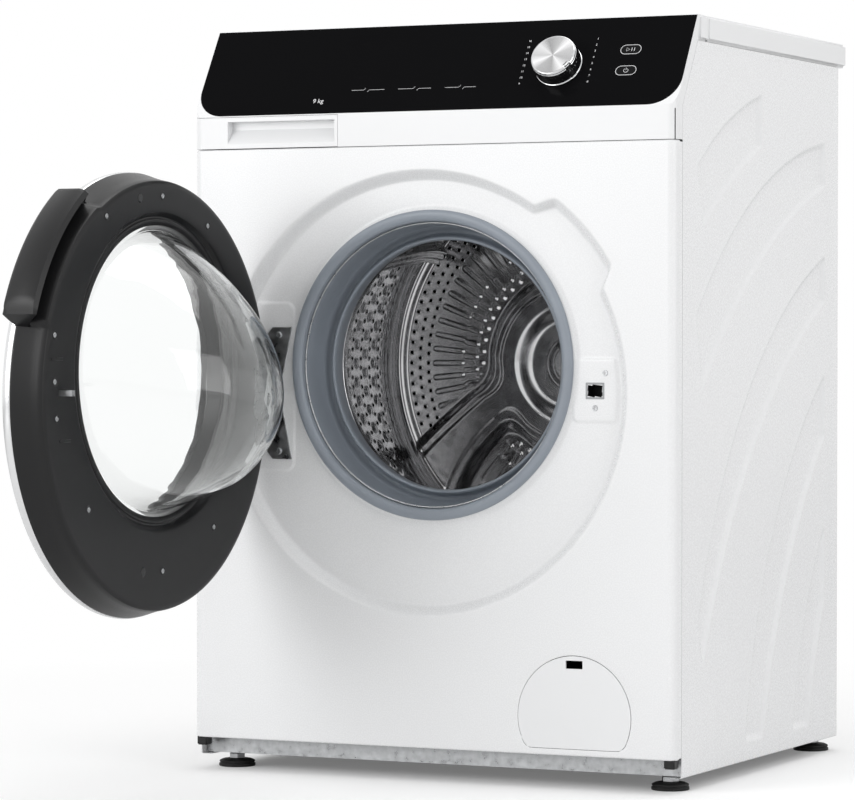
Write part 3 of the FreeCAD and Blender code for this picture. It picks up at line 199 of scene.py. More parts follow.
# shared effects as node groups

def newGroup(name, inputs, outputs):
    group = bpy.data.node_groups.new(name, "ShaderNodeTree")
    for title, kind, value in inputs:
        socket = group.interface.new_socket(name=title, in_out="INPUT", socket_type=kind)
        socket.default_value = value
    for title, kind in outputs:
        group.interface.new_socket(name=title, in_out="OUTPUT", socket_type=kind)
    return group, group.nodes.new("NodeGroupInput"), group.nodes.new("NodeGroupOutput")


def makeFineSurface():
    # moulded or painted skin: slow shade drift, fine grain in roughness and height
    group, given, out = newGroup("fineSurface", [
        ("Color", "NodeSocketColor", (0.8, 0.8, 0.8, 1)), ("Shade", "NodeSocketFloat", 0.96),
        ("Grain Scale", "NodeSocketFloat", 900.0), ("Drift Scale", "NodeSocketFloat", 6.0),
        ("Smooth", "NodeSocketFloat", 0.3), ("Rough", "NodeSocketFloat", 0.4)],
        [("Color", "NodeSocketColor"), ("Roughness", "NodeSocketFloat"), ("Height", "NodeSocketFloat")])
    nodes, links = group.nodes, group.links
    coords = nodes.new("ShaderNodeTexCoord")
    drift, grain = nodes.new("ShaderNodeTexNoise"), nodes.new("ShaderNodeTexNoise")
    drift.inputs["Detail"].default_value = 3
    grain.inputs["Detail"].default_value = 2
    for noise, socket in ((drift, "Drift Scale"), (grain, "Grain Scale")):
        links.new(coords.outputs["Object"], noise.inputs["Vector"])
        links.new(given.outputs[socket], noise.inputs["Scale"])
    shaded = nodes.new("ShaderNodeMix")
    shaded.data_type = "RGBA"
    shaded.blend_type = "MULTIPLY"
    shaded.inputs[0].default_value = 1.0
    grey = nodes.new("ShaderNodeMapRange")
    grey.inputs["From Min"].default_value = 0.3
    grey.inputs["From Max"].default_value = 0.7
    grey.inputs["To Max"].default_value = 1.0
    links.new(given.outputs["Shade"], grey.inputs["To Min"])
    links.new(drift.outputs["Fac"], grey.inputs["Value"])
    links.new(given.outputs["Color"], shaded.inputs[6])
    links.new(grey.outputs["Result"], shaded.inputs[7])
    links.new(shaded.outputs[2], out.inputs["Color"])
    rough = nodes.new("ShaderNodeMapRange")
    rough.inputs["From Min"].default_value = 0.35
    rough.inputs["From Max"].default_value = 0.65
    links.new(grain.outputs["Fac"], rough.inputs["Value"])
    links.new(given.outputs["Smooth"], rough.inputs["To Min"])
    links.new(given.outputs["Rough"], rough.inputs["To Max"])
    links.new(rough.outputs["Result"], out.inputs["Roughness"])
    links.new(grain.outputs["Fac"], out.inputs["Height"])
    return group


def makeEdgeSheen():
    # a mask that is 1 on convex edges, broken up by noise; it sets where a painted highlight lightens the edges
    group, given, out = newGroup("paintedEdgeSheen", [("Width", "NodeSocketFloat", 0.08), ("Breakup", "NodeSocketFloat", 140.0)],
                                 [("Mask", "NodeSocketFloat")])
    nodes, links = group.nodes, group.links
    shape = nodes.new("ShaderNodeNewGeometry")
    coords, noise = nodes.new("ShaderNodeTexCoord"), nodes.new("ShaderNodeTexNoise")
    links.new(coords.outputs["Object"], noise.inputs["Vector"])
    links.new(given.outputs["Breakup"], noise.inputs["Scale"])
    lift = nodes.new("ShaderNodeMath")
    lift.operation = "ADD"
    lift.inputs[1].default_value = 0.5
    links.new(given.outputs["Width"], lift.inputs[0])
    edge = nodes.new("ShaderNodeMapRange")
    edge.inputs["From Min"].default_value = 0.5
    links.new(lift.outputs[0], edge.inputs["From Max"])
    links.new(shape.outputs["Pointiness"], edge.inputs["Value"])
    mask = nodes.new("ShaderNodeMath")
    mask.operation = "MULTIPLY"
    mask.use_clamp = True
    links.new(edge.outputs["Result"], mask.inputs[0])
    links.new(noise.outputs["Fac"], mask.inputs[1])
    links.new(mask.outputs[0], out.inputs["Mask"])
    return group


def makeBrushed():
    # drawn or rolled metal: long streaks in shade and roughness
    group, given, out = newGroup("brushedMetal", [
        ("Color", "NodeSocketColor", (0.6, 0.6, 0.6, 1)), ("Dark", "NodeSocketFloat", 0.85),
        ("Stretch", "NodeSocketVector", (20, 400, 400)), ("Smooth", "NodeSocketFloat", 0.15), ("Rough", "NodeSocketFloat", 0.3)],
        [("Color", "NodeSocketColor"), ("Roughness", "NodeSocketFloat"), ("Height", "NodeSocketFloat")])
    nodes, links = group.nodes, group.links
    coords, scaled = nodes.new("ShaderNodeTexCoord"), nodes.new("ShaderNodeVectorMath")
    scaled.operation = "MULTIPLY"
    links.new(coords.outputs["Object"], scaled.inputs[0])
    links.new(given.outputs["Stretch"], scaled.inputs[1])
    noise = nodes.new("ShaderNodeTexNoise")
    noise.inputs["Scale"].default_value = 1.0
    noise.inputs["Detail"].default_value = 4
    links.new(scaled.outputs[0], noise.inputs["Vector"])
    shade = nodes.new("ShaderNodeMapRange")
    shade.inputs["From Min"].default_value = 0.3
    shade.inputs["From Max"].default_value = 0.7
    links.new(given.outputs["Dark"], shade.inputs["To Min"])
    links.new(noise.outputs["Fac"], shade.inputs["Value"])
    tinted = nodes.new("ShaderNodeMix")
    tinted.data_type = "RGBA"
    tinted.blend_type = "MULTIPLY"
    tinted.inputs[0].default_value = 1.0
    links.new(given.outputs["Color"], tinted.inputs[6])
    links.new(shade.outputs["Result"], tinted.inputs[7])
    rough = nodes.new("ShaderNodeMapRange")
    rough.inputs["From Min"].default_value = 0.35
    rough.inputs["From Max"].default_value = 0.65
    links.new(noise.outputs["Fac"], rough.inputs["Value"])
    links.new(given.outputs["Smooth"], rough.inputs["To Min"])
    links.new(given.outputs["Rough"], rough.inputs["To Max"])
    links.new(tinted.outputs[2], out.inputs["Color"])
    links.new(rough.outputs["Result"], out.inputs["Roughness"])
    links.new(noise.outputs["Fac"], out.inputs["Height"])
    return group


fineSurface, paintedEdgeSheen, brushedMetal = makeFineSurface(), makeEdgeSheen(), makeBrushed()


def startMaterial(name):
    material = bpy.data.materials.new(name)
    material.use_nodes = True
    nodes = material.node_tree.nodes
    nodes.clear()
    shader = nodes.new("ShaderNodeBsdfPrincipled")
    output = nodes.new("ShaderNodeOutputMaterial")
    material.node_tree.links.new(shader.outputs[0], output.inputs["Surface"])
    return material, nodes, material.node_tree.links, shader


def bumpFrom(nodes, links, shader, height, strength, distance):
    bump = nodes.new("ShaderNodeBump")
    bump.inputs["Strength"].default_value = strength
    bump.inputs["Distance"].default_value = distance
    links.new(height, bump.inputs["Height"])
    links.new(bump.outputs["Normal"], shader.inputs["Normal"])


def moulded(name, color, smooth, rough, shade=0.97, grain=900.0, drift=6.0, bump=0.05, specular=0.5, edgeSheen=None,
            edgeSheenColor=None):
    material, nodes, links, shader = startMaterial(name)
    skin = nodes.new("ShaderNodeGroup")
    skin.node_tree = fineSurface
    skin.inputs["Color"].default_value = (*color, 1)
    skin.inputs["Shade"].default_value = shade
    skin.inputs["Grain Scale"].default_value = grain
    skin.inputs["Drift Scale"].default_value = drift
    skin.inputs["Smooth"].default_value = smooth
    skin.inputs["Rough"].default_value = rough
    tint = skin.outputs["Color"]
    # painted highlight: convex edges are mixed toward a lighter tint, as if they caught the light
    if edgeSheen:
        sheenMask = nodes.new("ShaderNodeGroup")
        sheenMask.node_tree = paintedEdgeSheen
        sheenMask.inputs["Width"].default_value = edgeSheen
        mixed = nodes.new("ShaderNodeMix")
        mixed.data_type = "RGBA"
        mixed.inputs[7].default_value = (*(edgeSheenColor or [min(1.0, c * 1.6 + 0.02) for c in color]), 1)
        links.new(sheenMask.outputs["Mask"], mixed.inputs[0])
        links.new(tint, mixed.inputs[6])
        tint = mixed.outputs[2]
    links.new(tint, shader.inputs["Base Color"])
    links.new(skin.outputs["Roughness"], shader.inputs["Roughness"])
    shader.inputs["Specular IOR Level"].default_value = specular
    bumpFrom(nodes, links, shader, skin.outputs["Height"], bump, 0.0002)
    return material


def metal(name, color, smooth, rough, stretch=(60, 60, 60), dark=0.85, bump=0.04, anisotropy=0.0):
    material, nodes, links, shader = startMaterial(name)
    drawn = nodes.new("ShaderNodeGroup")
    drawn.node_tree = brushedMetal
    drawn.inputs["Color"].default_value = (*color, 1)
    drawn.inputs["Dark"].default_value = dark
    drawn.inputs["Stretch"].default_value = stretch
    drawn.inputs["Smooth"].default_value = smooth
    drawn.inputs["Rough"].default_value = rough
    links.new(drawn.outputs["Color"], shader.inputs["Base Color"])
    links.new(drawn.outputs["Roughness"], shader.inputs["Roughness"])
    shader.inputs["Metallic"].default_value = 1.0
    shader.inputs["Anisotropic"].default_value = anisotropy
    bumpFrom(nodes, links, shader, drawn.outputs["Height"], bump, 0.0002)
    return material


def clearGlass():
    material, nodes, links, shader = startMaterial("windowGlass")
    skin = nodes.new("ShaderNodeGroup")
    skin.node_tree = fineSurface
    skin.inputs["Color"].default_value = (0.97, 0.985, 0.98, 1)
    skin.inputs["Shade"].default_value = 0.99
    skin.inputs["Grain Scale"].default_value = 14.0
    skin.inputs["Smooth"].default_value = 0.0
    skin.inputs["Rough"].default_value = 0.015
    links.new(skin.outputs["Color"], shader.inputs["Base Color"])
    links.new(skin.outputs["Roughness"], shader.inputs["Roughness"])
    shader.inputs["Metallic"].default_value = 0.0
    shader.inputs["Transmission Weight"].default_value = 1.0
    shader.inputs["IOR"].default_value = 1.48
    bumpFrom(nodes, links, shader, skin.outputs["Height"], 0.35, 0.004)
    return material


def spunFace():
    # turned aluminium: fine rings in the bump and roughness, and painted highlight sectors in the base colour round
    # the knob's axis
    material, nodes, links, shader = startMaterial("spunAluminium")
    coords, spread = nodes.new("ShaderNodeTexCoord"), nodes.new("ShaderNodeTexGradient")
    spread.gradient_type = "RADIAL"
    links.new(coords.outputs["Object"], spread.inputs["Vector"])
    # painted highlight: bright and dark sectors by angle in the base colour stand in for the spun finish's conic
    # highlights
    sheenRamp = nodes.new("ShaderNodeValToRGB")
    sheenStops = [(0.0, 0.62), (0.07, 0.95), (0.14, 0.5), (0.27, 0.42), (0.36, 0.92), (0.45, 0.5), (0.56, 0.6),
             (0.63, 0.95), (0.7, 0.55), (0.82, 0.38), (0.9, 0.8), (1.0, 0.62)]
    sheenRamp.color_ramp.elements[0].position, sheenRamp.color_ramp.elements[1].position = sheenStops[0][0], sheenStops[-1][0]
    for place, shade in sheenStops[1:-1]:
        sheenRamp.color_ramp.elements.new(place)
    for element, (place, shade) in zip(sheenRamp.color_ramp.elements, sheenStops):
        element.color = (shade, shade, shade * 1.01, 1)
    links.new(spread.outputs["Fac"], sheenRamp.inputs["Fac"])
    links.new(sheenRamp.outputs["Color"], shader.inputs["Base Color"])
    rings = nodes.new("ShaderNodeTexWave")
    rings.wave_type = "RINGS"
    rings.rings_direction = "Z"
    rings.inputs["Scale"].default_value = 900.0
    rings.inputs["Distortion"].default_value = 0.4
    links.new(coords.outputs["Object"], rings.inputs["Vector"])
    rough = nodes.new("ShaderNodeMapRange")
    rough.inputs["To Min"].default_value = 0.22
    rough.inputs["To Max"].default_value = 0.34
    links.new(rings.outputs["Fac"], rough.inputs["Value"])
    links.new(rough.outputs["Result"], shader.inputs["Roughness"])
    shader.inputs["Metallic"].default_value = 1.0
    bumpFrom(nodes, links, shader, rings.outputs["Fac"], 0.08, 0.0001)
    return material


def speckled(name, color, dark, scale, rough, bump, metallic=0.0):
    # cast or ground stone and alloy: cells of two shades with a rough skin
    material, nodes, links, shader = startMaterial(name)
    coords, cells, noise = nodes.new("ShaderNodeTexCoord"), nodes.new("ShaderNodeTexVoronoi"), nodes.new("ShaderNodeTexNoise")
    cells.inputs["Scale"].default_value = scale
    noise.inputs["Scale"].default_value = scale * 0.4
    noise.inputs["Detail"].default_value = 6
    links.new(coords.outputs["Object"], cells.inputs["Vector"])
    links.new(coords.outputs["Object"], noise.inputs["Vector"])
    mixed = nodes.new("ShaderNodeMix")
    mixed.data_type = "RGBA"
    mixed.inputs[6].default_value = (*dark, 1)
    mixed.inputs[7].default_value = (*color, 1)
    links.new(noise.outputs["Fac"], mixed.inputs[0])
    links.new(mixed.outputs[2], shader.inputs["Base Color"])
    spread = nodes.new("ShaderNodeMapRange")
    spread.inputs["To Min"].default_value = rough - 0.1
    spread.inputs["To Max"].default_value = rough + 0.1
    links.new(cells.outputs["Distance"], spread.inputs["Value"])
    links.new(spread.outputs["Result"], shader.inputs["Roughness"])
    shader.inputs["Metallic"].default_value = metallic
    bumpFrom(nodes, links, shader, noise.outputs["Fac"], bump, 0.001)
    return material


def circuitBoard():
    material, nodes, links, shader = startMaterial("circuitBoard")
    coords, tracks = nodes.new("ShaderNodeTexCoord"), nodes.new("ShaderNodeTexBrick")
    tracks.inputs["Scale"].default_value = 60.0
    tracks.inputs["Color1"].default_value = (0.03, 0.2, 0.09, 1)
    tracks.inputs["Color2"].default_value = (0.04, 0.26, 0.11, 1)
    tracks.inputs["Mortar"].default_value = (0.3, 0.26, 0.1, 1)
    tracks.inputs["Mortar Size"].default_value = 0.03
    links.new(coords.outputs["Object"], tracks.inputs["Vector"])
    links.new(tracks.outputs["Color"], shader.inputs["Base Color"])
    rough = nodes.new("ShaderNodeMapRange")
    rough.inputs["To Min"].default_value = 0.3
    rough.inputs["To Max"].default_value = 0.5
    links.new(tracks.outputs["Fac"], rough.inputs["Value"])
    links.new(rough.outputs["Result"], shader.inputs["Roughness"])
    bumpFrom(nodes, links, shader, tracks.outputs["Fac"], 0.2, 0.0003)
    return material


whiteEnamel = moulded("whiteEnamel", (0.80, 0.805, 0.812), 0.24, 0.3, shade=0.985, grain=700, drift=2.5, bump=0.02)
whitePlastic = moulded("whitePlastic", (0.79, 0.795, 0.802), 0.3, 0.38, shade=0.985, grain=1500, bump=0.03)
whiteLaminate = moulded("whiteLaminate", (0.80, 0.805, 0.81), 0.34, 0.46, shade=0.98, grain=2400, bump=0.06)
blackGlass = moulded("blackGlass", (0.004, 0.004, 0.0045), 0.1, 0.16, shade=0.9, grain=500, bump=0.01, specular=0.02)
keyBlack = moulded("keyBlack", (0.0045, 0.0045, 0.005), 0.14, 0.2, shade=0.9, grain=500, bump=0.01, specular=0.1)
# satin black plastic with a painted highlight lightening its convex edges
satinBlack = moulded("satinBlack", (0.006, 0.006, 0.0065), 0.3, 0.4, shade=0.85, grain=1600, bump=0.05, specular=0.32, edgeSheen=0.5)
glossBlack = moulded("glossBlack", (0.005, 0.005, 0.0055), 0.08, 0.14, shade=0.9, grain=400, bump=0.01, specular=0.4)
sealRubber = moulded("sealRubber", (0.26, 0.29, 0.33), 0.34, 0.46, shade=0.9, grain=1200, drift=12, bump=0.06, specular=0.45)
blackRubber = moulded("blackRubber", (0.012, 0.012, 0.012), 0.55, 0.7, shade=0.8, grain=900, bump=0.15, specular=0.3)
greyMoulding = moulded("greyMoulding", (0.36, 0.37, 0.38), 0.45, 0.6, shade=0.9, grain=900, bump=0.1)
tubMoulding = moulded("tubMoulding", (0.42, 0.43, 0.42), 0.5, 0.65, shade=0.88, grain=600, bump=0.15)
inkWhite = moulded("inkWhite", (0.62, 0.62, 0.63), 0.5, 0.6, shade=0.95, grain=3000, bump=0.02)
# painted shade: near-black discs laid over the holes stand for the dark seen through them
holeShadeBlack = moulded("holeShadeBlack", (0.002, 0.002, 0.002), 0.7, 0.9, shade=0.7, grain=800, bump=0.1, specular=0.05)
silverTrim = metal("silverTrim", (0.78, 0.785, 0.79), 0.14, 0.22, stretch=(30, 30, 30), dark=0.96, bump=0.01)
chromeSide = metal("chromeSide", (0.72, 0.725, 0.735), 0.08, 0.16, stretch=(20, 20, 900), dark=0.9, bump=0.02)
drumSteel = metal("drumSteel", (0.66, 0.66, 0.67), 0.13, 0.22, stretch=(40, 260, 40), dark=0.88, bump=0.03)
zincSteel = metal("zincSteel", (0.52, 0.53, 0.54), 0.26, 0.42, stretch=(120, 120, 120), dark=0.7, bump=0.06)
castAlloy = speckled("castAlloy", (0.55, 0.55, 0.56), (0.36, 0.36, 0.37), 420, 0.45, 0.25, metallic=0.9)
concrete = speckled("concrete", (0.34, 0.33, 0.31), (0.2, 0.195, 0.185), 160, 0.85, 0.6)
windowGlass = clearGlass()
spunAluminium = spunFace()
greenBoard = circuitBoard()
print("materials made")

slotMaterials = {
    "white_steel": whiteEnamel, "white_plastic": whitePlastic, "worktop_board": whiteLaminate,
    "black_gloss": blackGlass, "black_plastic": satinBlack, "silver_trim": silverTrim, "spun_metal": spunAluminium,
    "key_black": keyBlack, "window_glass": windowGlass, "grey_rubber": sealRubber, "black_rubber": blackRubber,
    "stainless": drumSteel, "zinc_steel": zincSteel, "cast_alloy": castAlloy, "concrete": concrete,
    "tub_plastic": tubMoulding, "grey_plastic": greyMoulding, "circuit_green": greenBoard,
}


def dressFrame():
    slotOf = {part["node"]: part["material_slot"] for part in frame["record"]["subparts"]}
    for node, piece in frame["nodes"].items():
        for place in piece.material_slots:
            place.material = slotMaterials[slotOf[node]]


dressFrame()


# front panel

frontPanelSizes = {
    "recess": (-9.0, 434.0), "recessRadius": 250.0, "wallRun": 13.0, "recessDepth": 14.0,
    "scallopGrow": 21.0, "scallopFrom": 27.0, "scallopTo": 57.0, "scallopEase": 5.0,
    "holeRadius": 164.3, "collarDepth": 10.0, "cornerRadius": 10.0, "splitHeight": 168.0,
    "flap": (178.0, 80.0), "flapRadius": 67.6, "flapFloor": 44.4, "flapCorner": 12.0,
    "lockLand": (204.0, 438.0, 35.0, 36.0), "hingeLand": (-215.0, 440.0, 42.0, 97.0),
    "slot": (197.0, 437.5, 9.5, 7.5),
}


def boxDistance(x, z, centreX, centreZ, halfX, halfZ, corner):
    dx = np.abs(x - centreX) - halfX + corner
    dz = np.abs(z - centreZ) - halfZ + corner
    return np.hypot(np.maximum(dx, 0), np.maximum(dz, 0)) + np.minimum(np.maximum(dx, dz), 0) - corner


def panelDepth(x, z):
    s = frontPanelSizes
    cx, cz = s["recess"]
    r = np.hypot(x - cx, z - cz)
    a = np.degrees(np.arctan2(z - cz, x - cx))
    wide = softStep((a - s["scallopFrom"]) / s["scallopEase"]) * softStep((s["scallopTo"] - a) / s["scallopEase"])
    edge = s["recessRadius"] + s["scallopGrow"] * wide
    depth = s["recessDepth"] * softStep((edge - r) / s["wallRun"])
    for land, corner in ((s["lockLand"], 8.0), (s["hingeLand"], 12.0)):
        inside = boxDistance(x, z, *land, corner)
        depth = depth - 1.3 * softStep(-inside / 3.0) * softStep((edge - s["wallRun"] - 1 - r) / 6.0)
    ring = np.hypot(x, z - drumZ)
    return depth - (depth - s["collarDepth"]) * softStep((178.0 - ring) / 6.0)


def flapOutline(angle, radius, floor, corner, centre):
    # distance from the flap's centre to its D-shaped outline at an angle
    drop = centre[1] - floor
    low, high = 0.0, radius
    c, s = math.cos(angle), math.sin(angle)
    chord = math.sqrt(radius ** 2 - drop ** 2)
    inner = math.sqrt((radius - corner) ** 2 - (drop - corner) ** 2)
    for step in range(30):
        mid = (low + high) / 2
        x, z = abs(mid * c), mid * s
        if x > inner and z < -(drop - corner):
            inside = math.hypot(x - inner, z + drop - corner) < corner
        else:
            inside = z > -drop
        low, high = (mid, high) if inside and mid < radius else (low, mid)
    return low


def rayToBox(angle, centre, lowX, highX, lowZ, highZ):
    c, s = math.cos(angle), math.sin(angle)
    reach = 1e9
    if abs(c) > 1e-9:
        reach = min(reach, ((highX if c > 0 else lowX) - centre[0]) / c)
    if abs(s) > 1e-9:
        reach = min(reach, ((highZ if s > 0 else lowZ) - centre[1]) / s)
    return reach


def cornerAngles(centre, lowX, highX, lowZ, highZ, count):
    # evenly spread angles that also hit the rectangle's corners
    angles = list(np.linspace(0, 2 * math.pi, count, endpoint=False))
    for x in (lowX, highX):
        for z in (lowZ, highZ):
            exact = math.atan2(z - centre[1], x - centre[0]) % (2 * math.pi)
            near = min(range(len(angles)), key=lambda k: abs(angles[k] - exact))
            angles[near] = exact
    return np.array(angles)


def makeFrontPanel():
    s = frontPanelSizes
    low, high = frontLow[2] * 1000, frontHigh[2] * 1000
    flat = half - s["cornerRadius"]
    lip = 2.0
    verts, faces = [], []

    def addGrid(rows, wrap):
        base = len(verts)
        for row in rows:
            verts.extend(at(*p) for p in row)
        faces.extend([[base + i for i in f] for f in gridFaces(len(rows), len(rows[0]), wrapColumns=wrap)])

    angles = cornerAngles((0, drumZ), -flat, flat, s["splitHeight"], high - lip, 900)
    reach = np.array([rayToBox(a, (0, drumZ), -flat, flat, s["splitHeight"], high - lip) for a in angles])
    c, sn = np.cos(angles), np.sin(angles)
    rows = []
    for r, d in ((s["holeRadius"], 20.0), (s["holeRadius"], 12.0), (164.7, 10.8), (165.6, 10.15)):
        rows.append([(r * a, d, drumZ + r * b) for a, b in zip(c, sn)])
    steps = np.concatenate([np.linspace(167, 182, 9), np.linspace(184, 0, 1)[:0]])
    for r in steps:
        x, z = r * c, drumZ + r * sn
        rows.append(list(zip(x, panelDepth(x, z), z)))
    for t in np.linspace(0, 1, 125)[1:]:
        r = 182 + (reach - 182) * t
        x, z = r * c, drumZ + r * sn
        rows.append(list(zip(x, panelDepth(x, z), z)))
    addGrid(rows, True)
    flap = s["flap"]
    left, floor = flap[0] - 83, low + lip
    fan = cornerAngles(flap, left, flat, floor, s["splitHeight"], 240)
    rim = np.array([flapOutline(a, s["flapRadius"], s["flapFloor"], s["flapCorner"], flap) for a in fan])
    far = np.array([rayToBox(a, flap, left, flat, floor, s["splitHeight"]) for a in fan])
    fanRows = []
    for grow, d in ((0.0, 3.0), (0.0, 0.5), (0.15, 0.12), (0.6, 0.0)):
        fanRows.append([(flap[0] + (r + grow) * math.cos(a), d, flap[1] + (r + grow) * math.sin(a)) for a, r in zip(fan, rim)])
    for t in np.linspace(0, 1, 8)[1:]:
        fanRows.append([(flap[0] + (r + 0.6 + (f - r - 0.6) * t) * math.cos(a), 0.0,
                         flap[1] + (r + 0.6 + (f - r - 0.6) * t) * math.sin(a)) for a, r, f in zip(fan, rim, far)])
    addGrid(fanRows, True)
    addGrid([[(x, 0.0, z) for x in np.linspace(-flat, left, 12)] for z in np.linspace(floor, s["splitHeight"], 6)], False)
    for side in (-1, 1):                                   # rounded front corners and their returns
        arc = [(side * (flat + s["cornerRadius"] * math.sin(t)), s["cornerRadius"] * (1 - math.cos(t)))
               for t in np.linspace(0, math.pi / 2, 9)] + [(side * half, sideFront - 0.6)]
        addGrid([[(x, d, z) for x, d in arc] for z in np.linspace(floor, high - lip, 40)], False)
    for edge, way in ((floor, -1), (high - lip, 1)):       # rolled top and bottom edges
        roll = [(edge + way * lip * math.sin(t), lip * (1 - math.cos(t))) for t in np.linspace(0, math.pi / 2, 6)]
        roll.append((edge + way * lip, sideFront - 1.0))
        outline = [(x, 0.0) for x in np.linspace(-flat, flat, 50)]
        addGrid([[(x, d, z) for x, base in outline] for z, d in roll], False)
        for side in (-1, 1):
            wedge = []
            for z, d in roll:
                wedge.append([(side * (flat + max(s["cornerRadius"] - d, 0.3) * math.sin(t)),
                               d + max(s["cornerRadius"] - d, 0.3) * (1 - math.cos(t)), z) for t in np.linspace(0, math.pi / 2, 9)])
            addGrid(wedge, False)
    slotX, slotZ, slotW, slotH = s["slot"]
    mesh = [f for f in faces if not all(
        abs(verts[i][0] * 1000 - slotX) < slotW - 0.3 and abs(verts[i][2] * 1000 - slotZ) < slotH - 0.3 for i in f)]
    panel = addPiece("frontPanelSkin", verts, mesh, whiteEnamel, "cabinet", 35)
    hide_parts("front_panel")
    return panel


makeFrontPanel()
print("front panel made")


# side panels with their five pressed bands

sideSizes = {
    "press": 4.0, "ease": 5.5, "rearEdge": 48.0, "foldRadius": 1.6, "fold": 14.0,
    # (depth, drop below the side's top): upper arc rear, middle, front, then lower arc front, middle, rear
    "bands": [
        [(261, 48), (144, 88), (62, 137), (78, 205), (160, 154), (261, 107)],
        [(474, 93), (255, 157), (60, 300), (76, 384), (220, 262), (474, 145)],
        [(474, 228), (240, 368), (66, 640), (80, 690), (262, 424), (474, 283)],
        [(474, 369), (340, 494), (211, 790), (266, 790), (350, 594), (474, 443)],
        [(474, 548), (410, 652), (365, 790), (420, 790), (446, 700), (474, 638)],
    ],
}


def circleThrough(a, b, c):
    ax, ay, bx, by, cx, cy = *a, *b, *c
    d = 2 * (ax * (by - cy) + bx * (cy - ay) + cx * (ay - by))
    ux = ((ax ** 2 + ay ** 2) * (by - cy) + (bx ** 2 + by ** 2) * (cy - ay) + (cx ** 2 + cy ** 2) * (ay - by)) / d
    uy = ((ax ** 2 + ay ** 2) * (cx - bx) + (bx ** 2 + by ** 2) * (ax - cx) + (cx ** 2 + cy ** 2) * (bx - ax)) / d
    return ux, uy, math.hypot(ax - ux, ay - uy)


def bandPress(depth, z):
    s = sideSizes
    total = np.zeros_like(depth)
    for band in s["bands"]:
        points = [(d, sideTop - drop) for d, drop in band]
        upX, upZ, upR = circleThrough(*points[:3])
        lowX, lowZ, lowR = circleThrough(*points[3:])
        inUpper = upR - np.hypot(depth - upX, z - upZ)
        inLower = np.hypot(depth - lowX, z - lowZ) - lowR
        (ax, az), (bx, bz) = points[2], points[3]
        length = math.hypot(bx - ax, bz - az)
        front = ((depth - ax) * -(bz - az) + (z - az) * (bx - ax)) / length
        rear = points[0][0] - depth
        inside = np.minimum(np.minimum(inUpper, inLower), np.minimum(front, rear))
        inside = np.minimum(inside, z - sideBottom - 22)
        total = np.maximum(total, softStep(inside / s["ease"]))
    return total * s["press"]


def makeSidePanel(side, node):
    s = sideSizes
    r = s["foldRadius"]
    zs = np.linspace(sideBottom + r, sideTop, 330)
    slopeZ = jointOf["knob_turn"]["pos_m"][2] * 1000 - 55 * math.sin(slopeAngle)
    rows = []
    for z in zs:
        start = sideFront + max(0.0, z - slopeZ) / math.tan(slopeAngle)
        depth = np.linspace(start, sideBack - r, 215)
        press = bandPress(depth, np.full_like(depth, z))
        row = list(zip(half - press, depth, [z] * len(depth)))
        row = [(half - 1.0, start + 0.2, z)] + row
        row += [(half - r + r * math.cos(t), sideBack - r + r * math.sin(t), z) for t in np.linspace(0, math.pi / 2, 5)[1:]]
        row.append((half - s["fold"], sideBack, z))
        rows.append(row)
    foldRow = []
    for k, t in enumerate(np.linspace(math.pi / 2, 0, 4)[:-1]):
        foldRow.append([(x - r + r * math.cos(t), d, sideBottom + r - r * math.sin(t)) if x > half - r - 0.1 else
                        (x, d, sideBottom + r - r * math.sin(t)) for x, d, z in rows[0]])
    under = [(half - s["fold"], d, sideBottom) for x, d, z in rows[0]]
    rows = [under] + foldRow + rows
    verts = [at(side * x, d, z) for row in rows for x, d, z in row]
    panel = addPiece(node + "_skin", verts, gridFaces(len(rows), len(rows[0]), flip=side < 0), whiteEnamel, "cabinet",
                     40, solid=False)
    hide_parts(node)


slopeAxis = Vector(jointOf["knob_turn"]["axis"])
slopeAngle = math.atan2(-slopeAxis.y, slopeAxis.z)
makeSidePanel(1, "right_side_panel")
makeSidePanel(-1, "left_side_panel")
print("side panels made")


# worktop: board, front cap and the seam between them

worktopSizes = {"cap": 26.0, "seam": 0.7, "edge": 3.2, "thickness": 28.5}


def makeWorktop():
    low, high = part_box("worktop")
    s = worktopSizes
    x0, x1 = low[0] * 1000, high[0] * 1000
    d0, d1 = (low[1] - frontY) * 1000, (high[1] - frontY) * 1000
    z0, z1 = low[2] * 1000, high[2] * 1000
    cap = cutBox("worktopCap", (x0, x1), (d0, d0 + s["cap"]), (z0, z1), whitePlastic, "cabinet", s["edge"])
    board = cutBox("worktopBoard", (x0 + 0.2, x1 - 0.2), (d0 + s["cap"] + s["seam"], d1), (z0 + 0.2, z1 - 0.1), whiteLaminate,
                   "cabinet", s["edge"])
    core = cutBox("worktopCore", (x0 + 2, x1 - 2), (d0 + s["cap"] - 4, d0 + s["cap"] + 6), (z0 + 2, z1 - 2.2), whitePlastic,
                  "cabinet", 0.8)
    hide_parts("worktop")


makeWorktop()


# control panel: knob, key outlines and printed marks on the slope

panelSizes = {
    "knobAt": (147.0, 55.0), "keys": ((228.0, 74.5, "start_button"), (228.0, 46.5, "power_button")),
    "leftNumbers": 103.5, "rightNumbers": 185.5, "numberLow": 33.0, "numberHigh": 90.5, "numberSize": 3.6,
    "line": 0.55, "weightAt": (-142.0, 17.4), "weightSize": 8.0, "rowAt": (-103.0, 68.0, 31.0),
}
slopeUp = Vector((0, math.cos(slopeAngle), math.sin(slopeAngle)))
knobPlace = Vector(jointOf["knob_turn"]["pos_m"])
slopeOrigin = knobPlace - Vector((panelSizes["knobAt"][0] * 0.001, 0, 0)) - slopeUp * panelSizes["knobAt"][1] * 0.001


def slopeMatrix(x, along, lift=0.0, spin=0.0):
    place = slopeOrigin + Vector((x * 0.001, 0, 0)) + slopeUp * along * 0.001 + slopeAxis * lift * 0.001
    turn = Matrix((Vector((1, 0, 0)), slopeUp, slopeAxis)).transposed()
    return Matrix.Translation(place) @ turn.to_4x4() @ Matrix.Rotation(spin, 4, "Z")


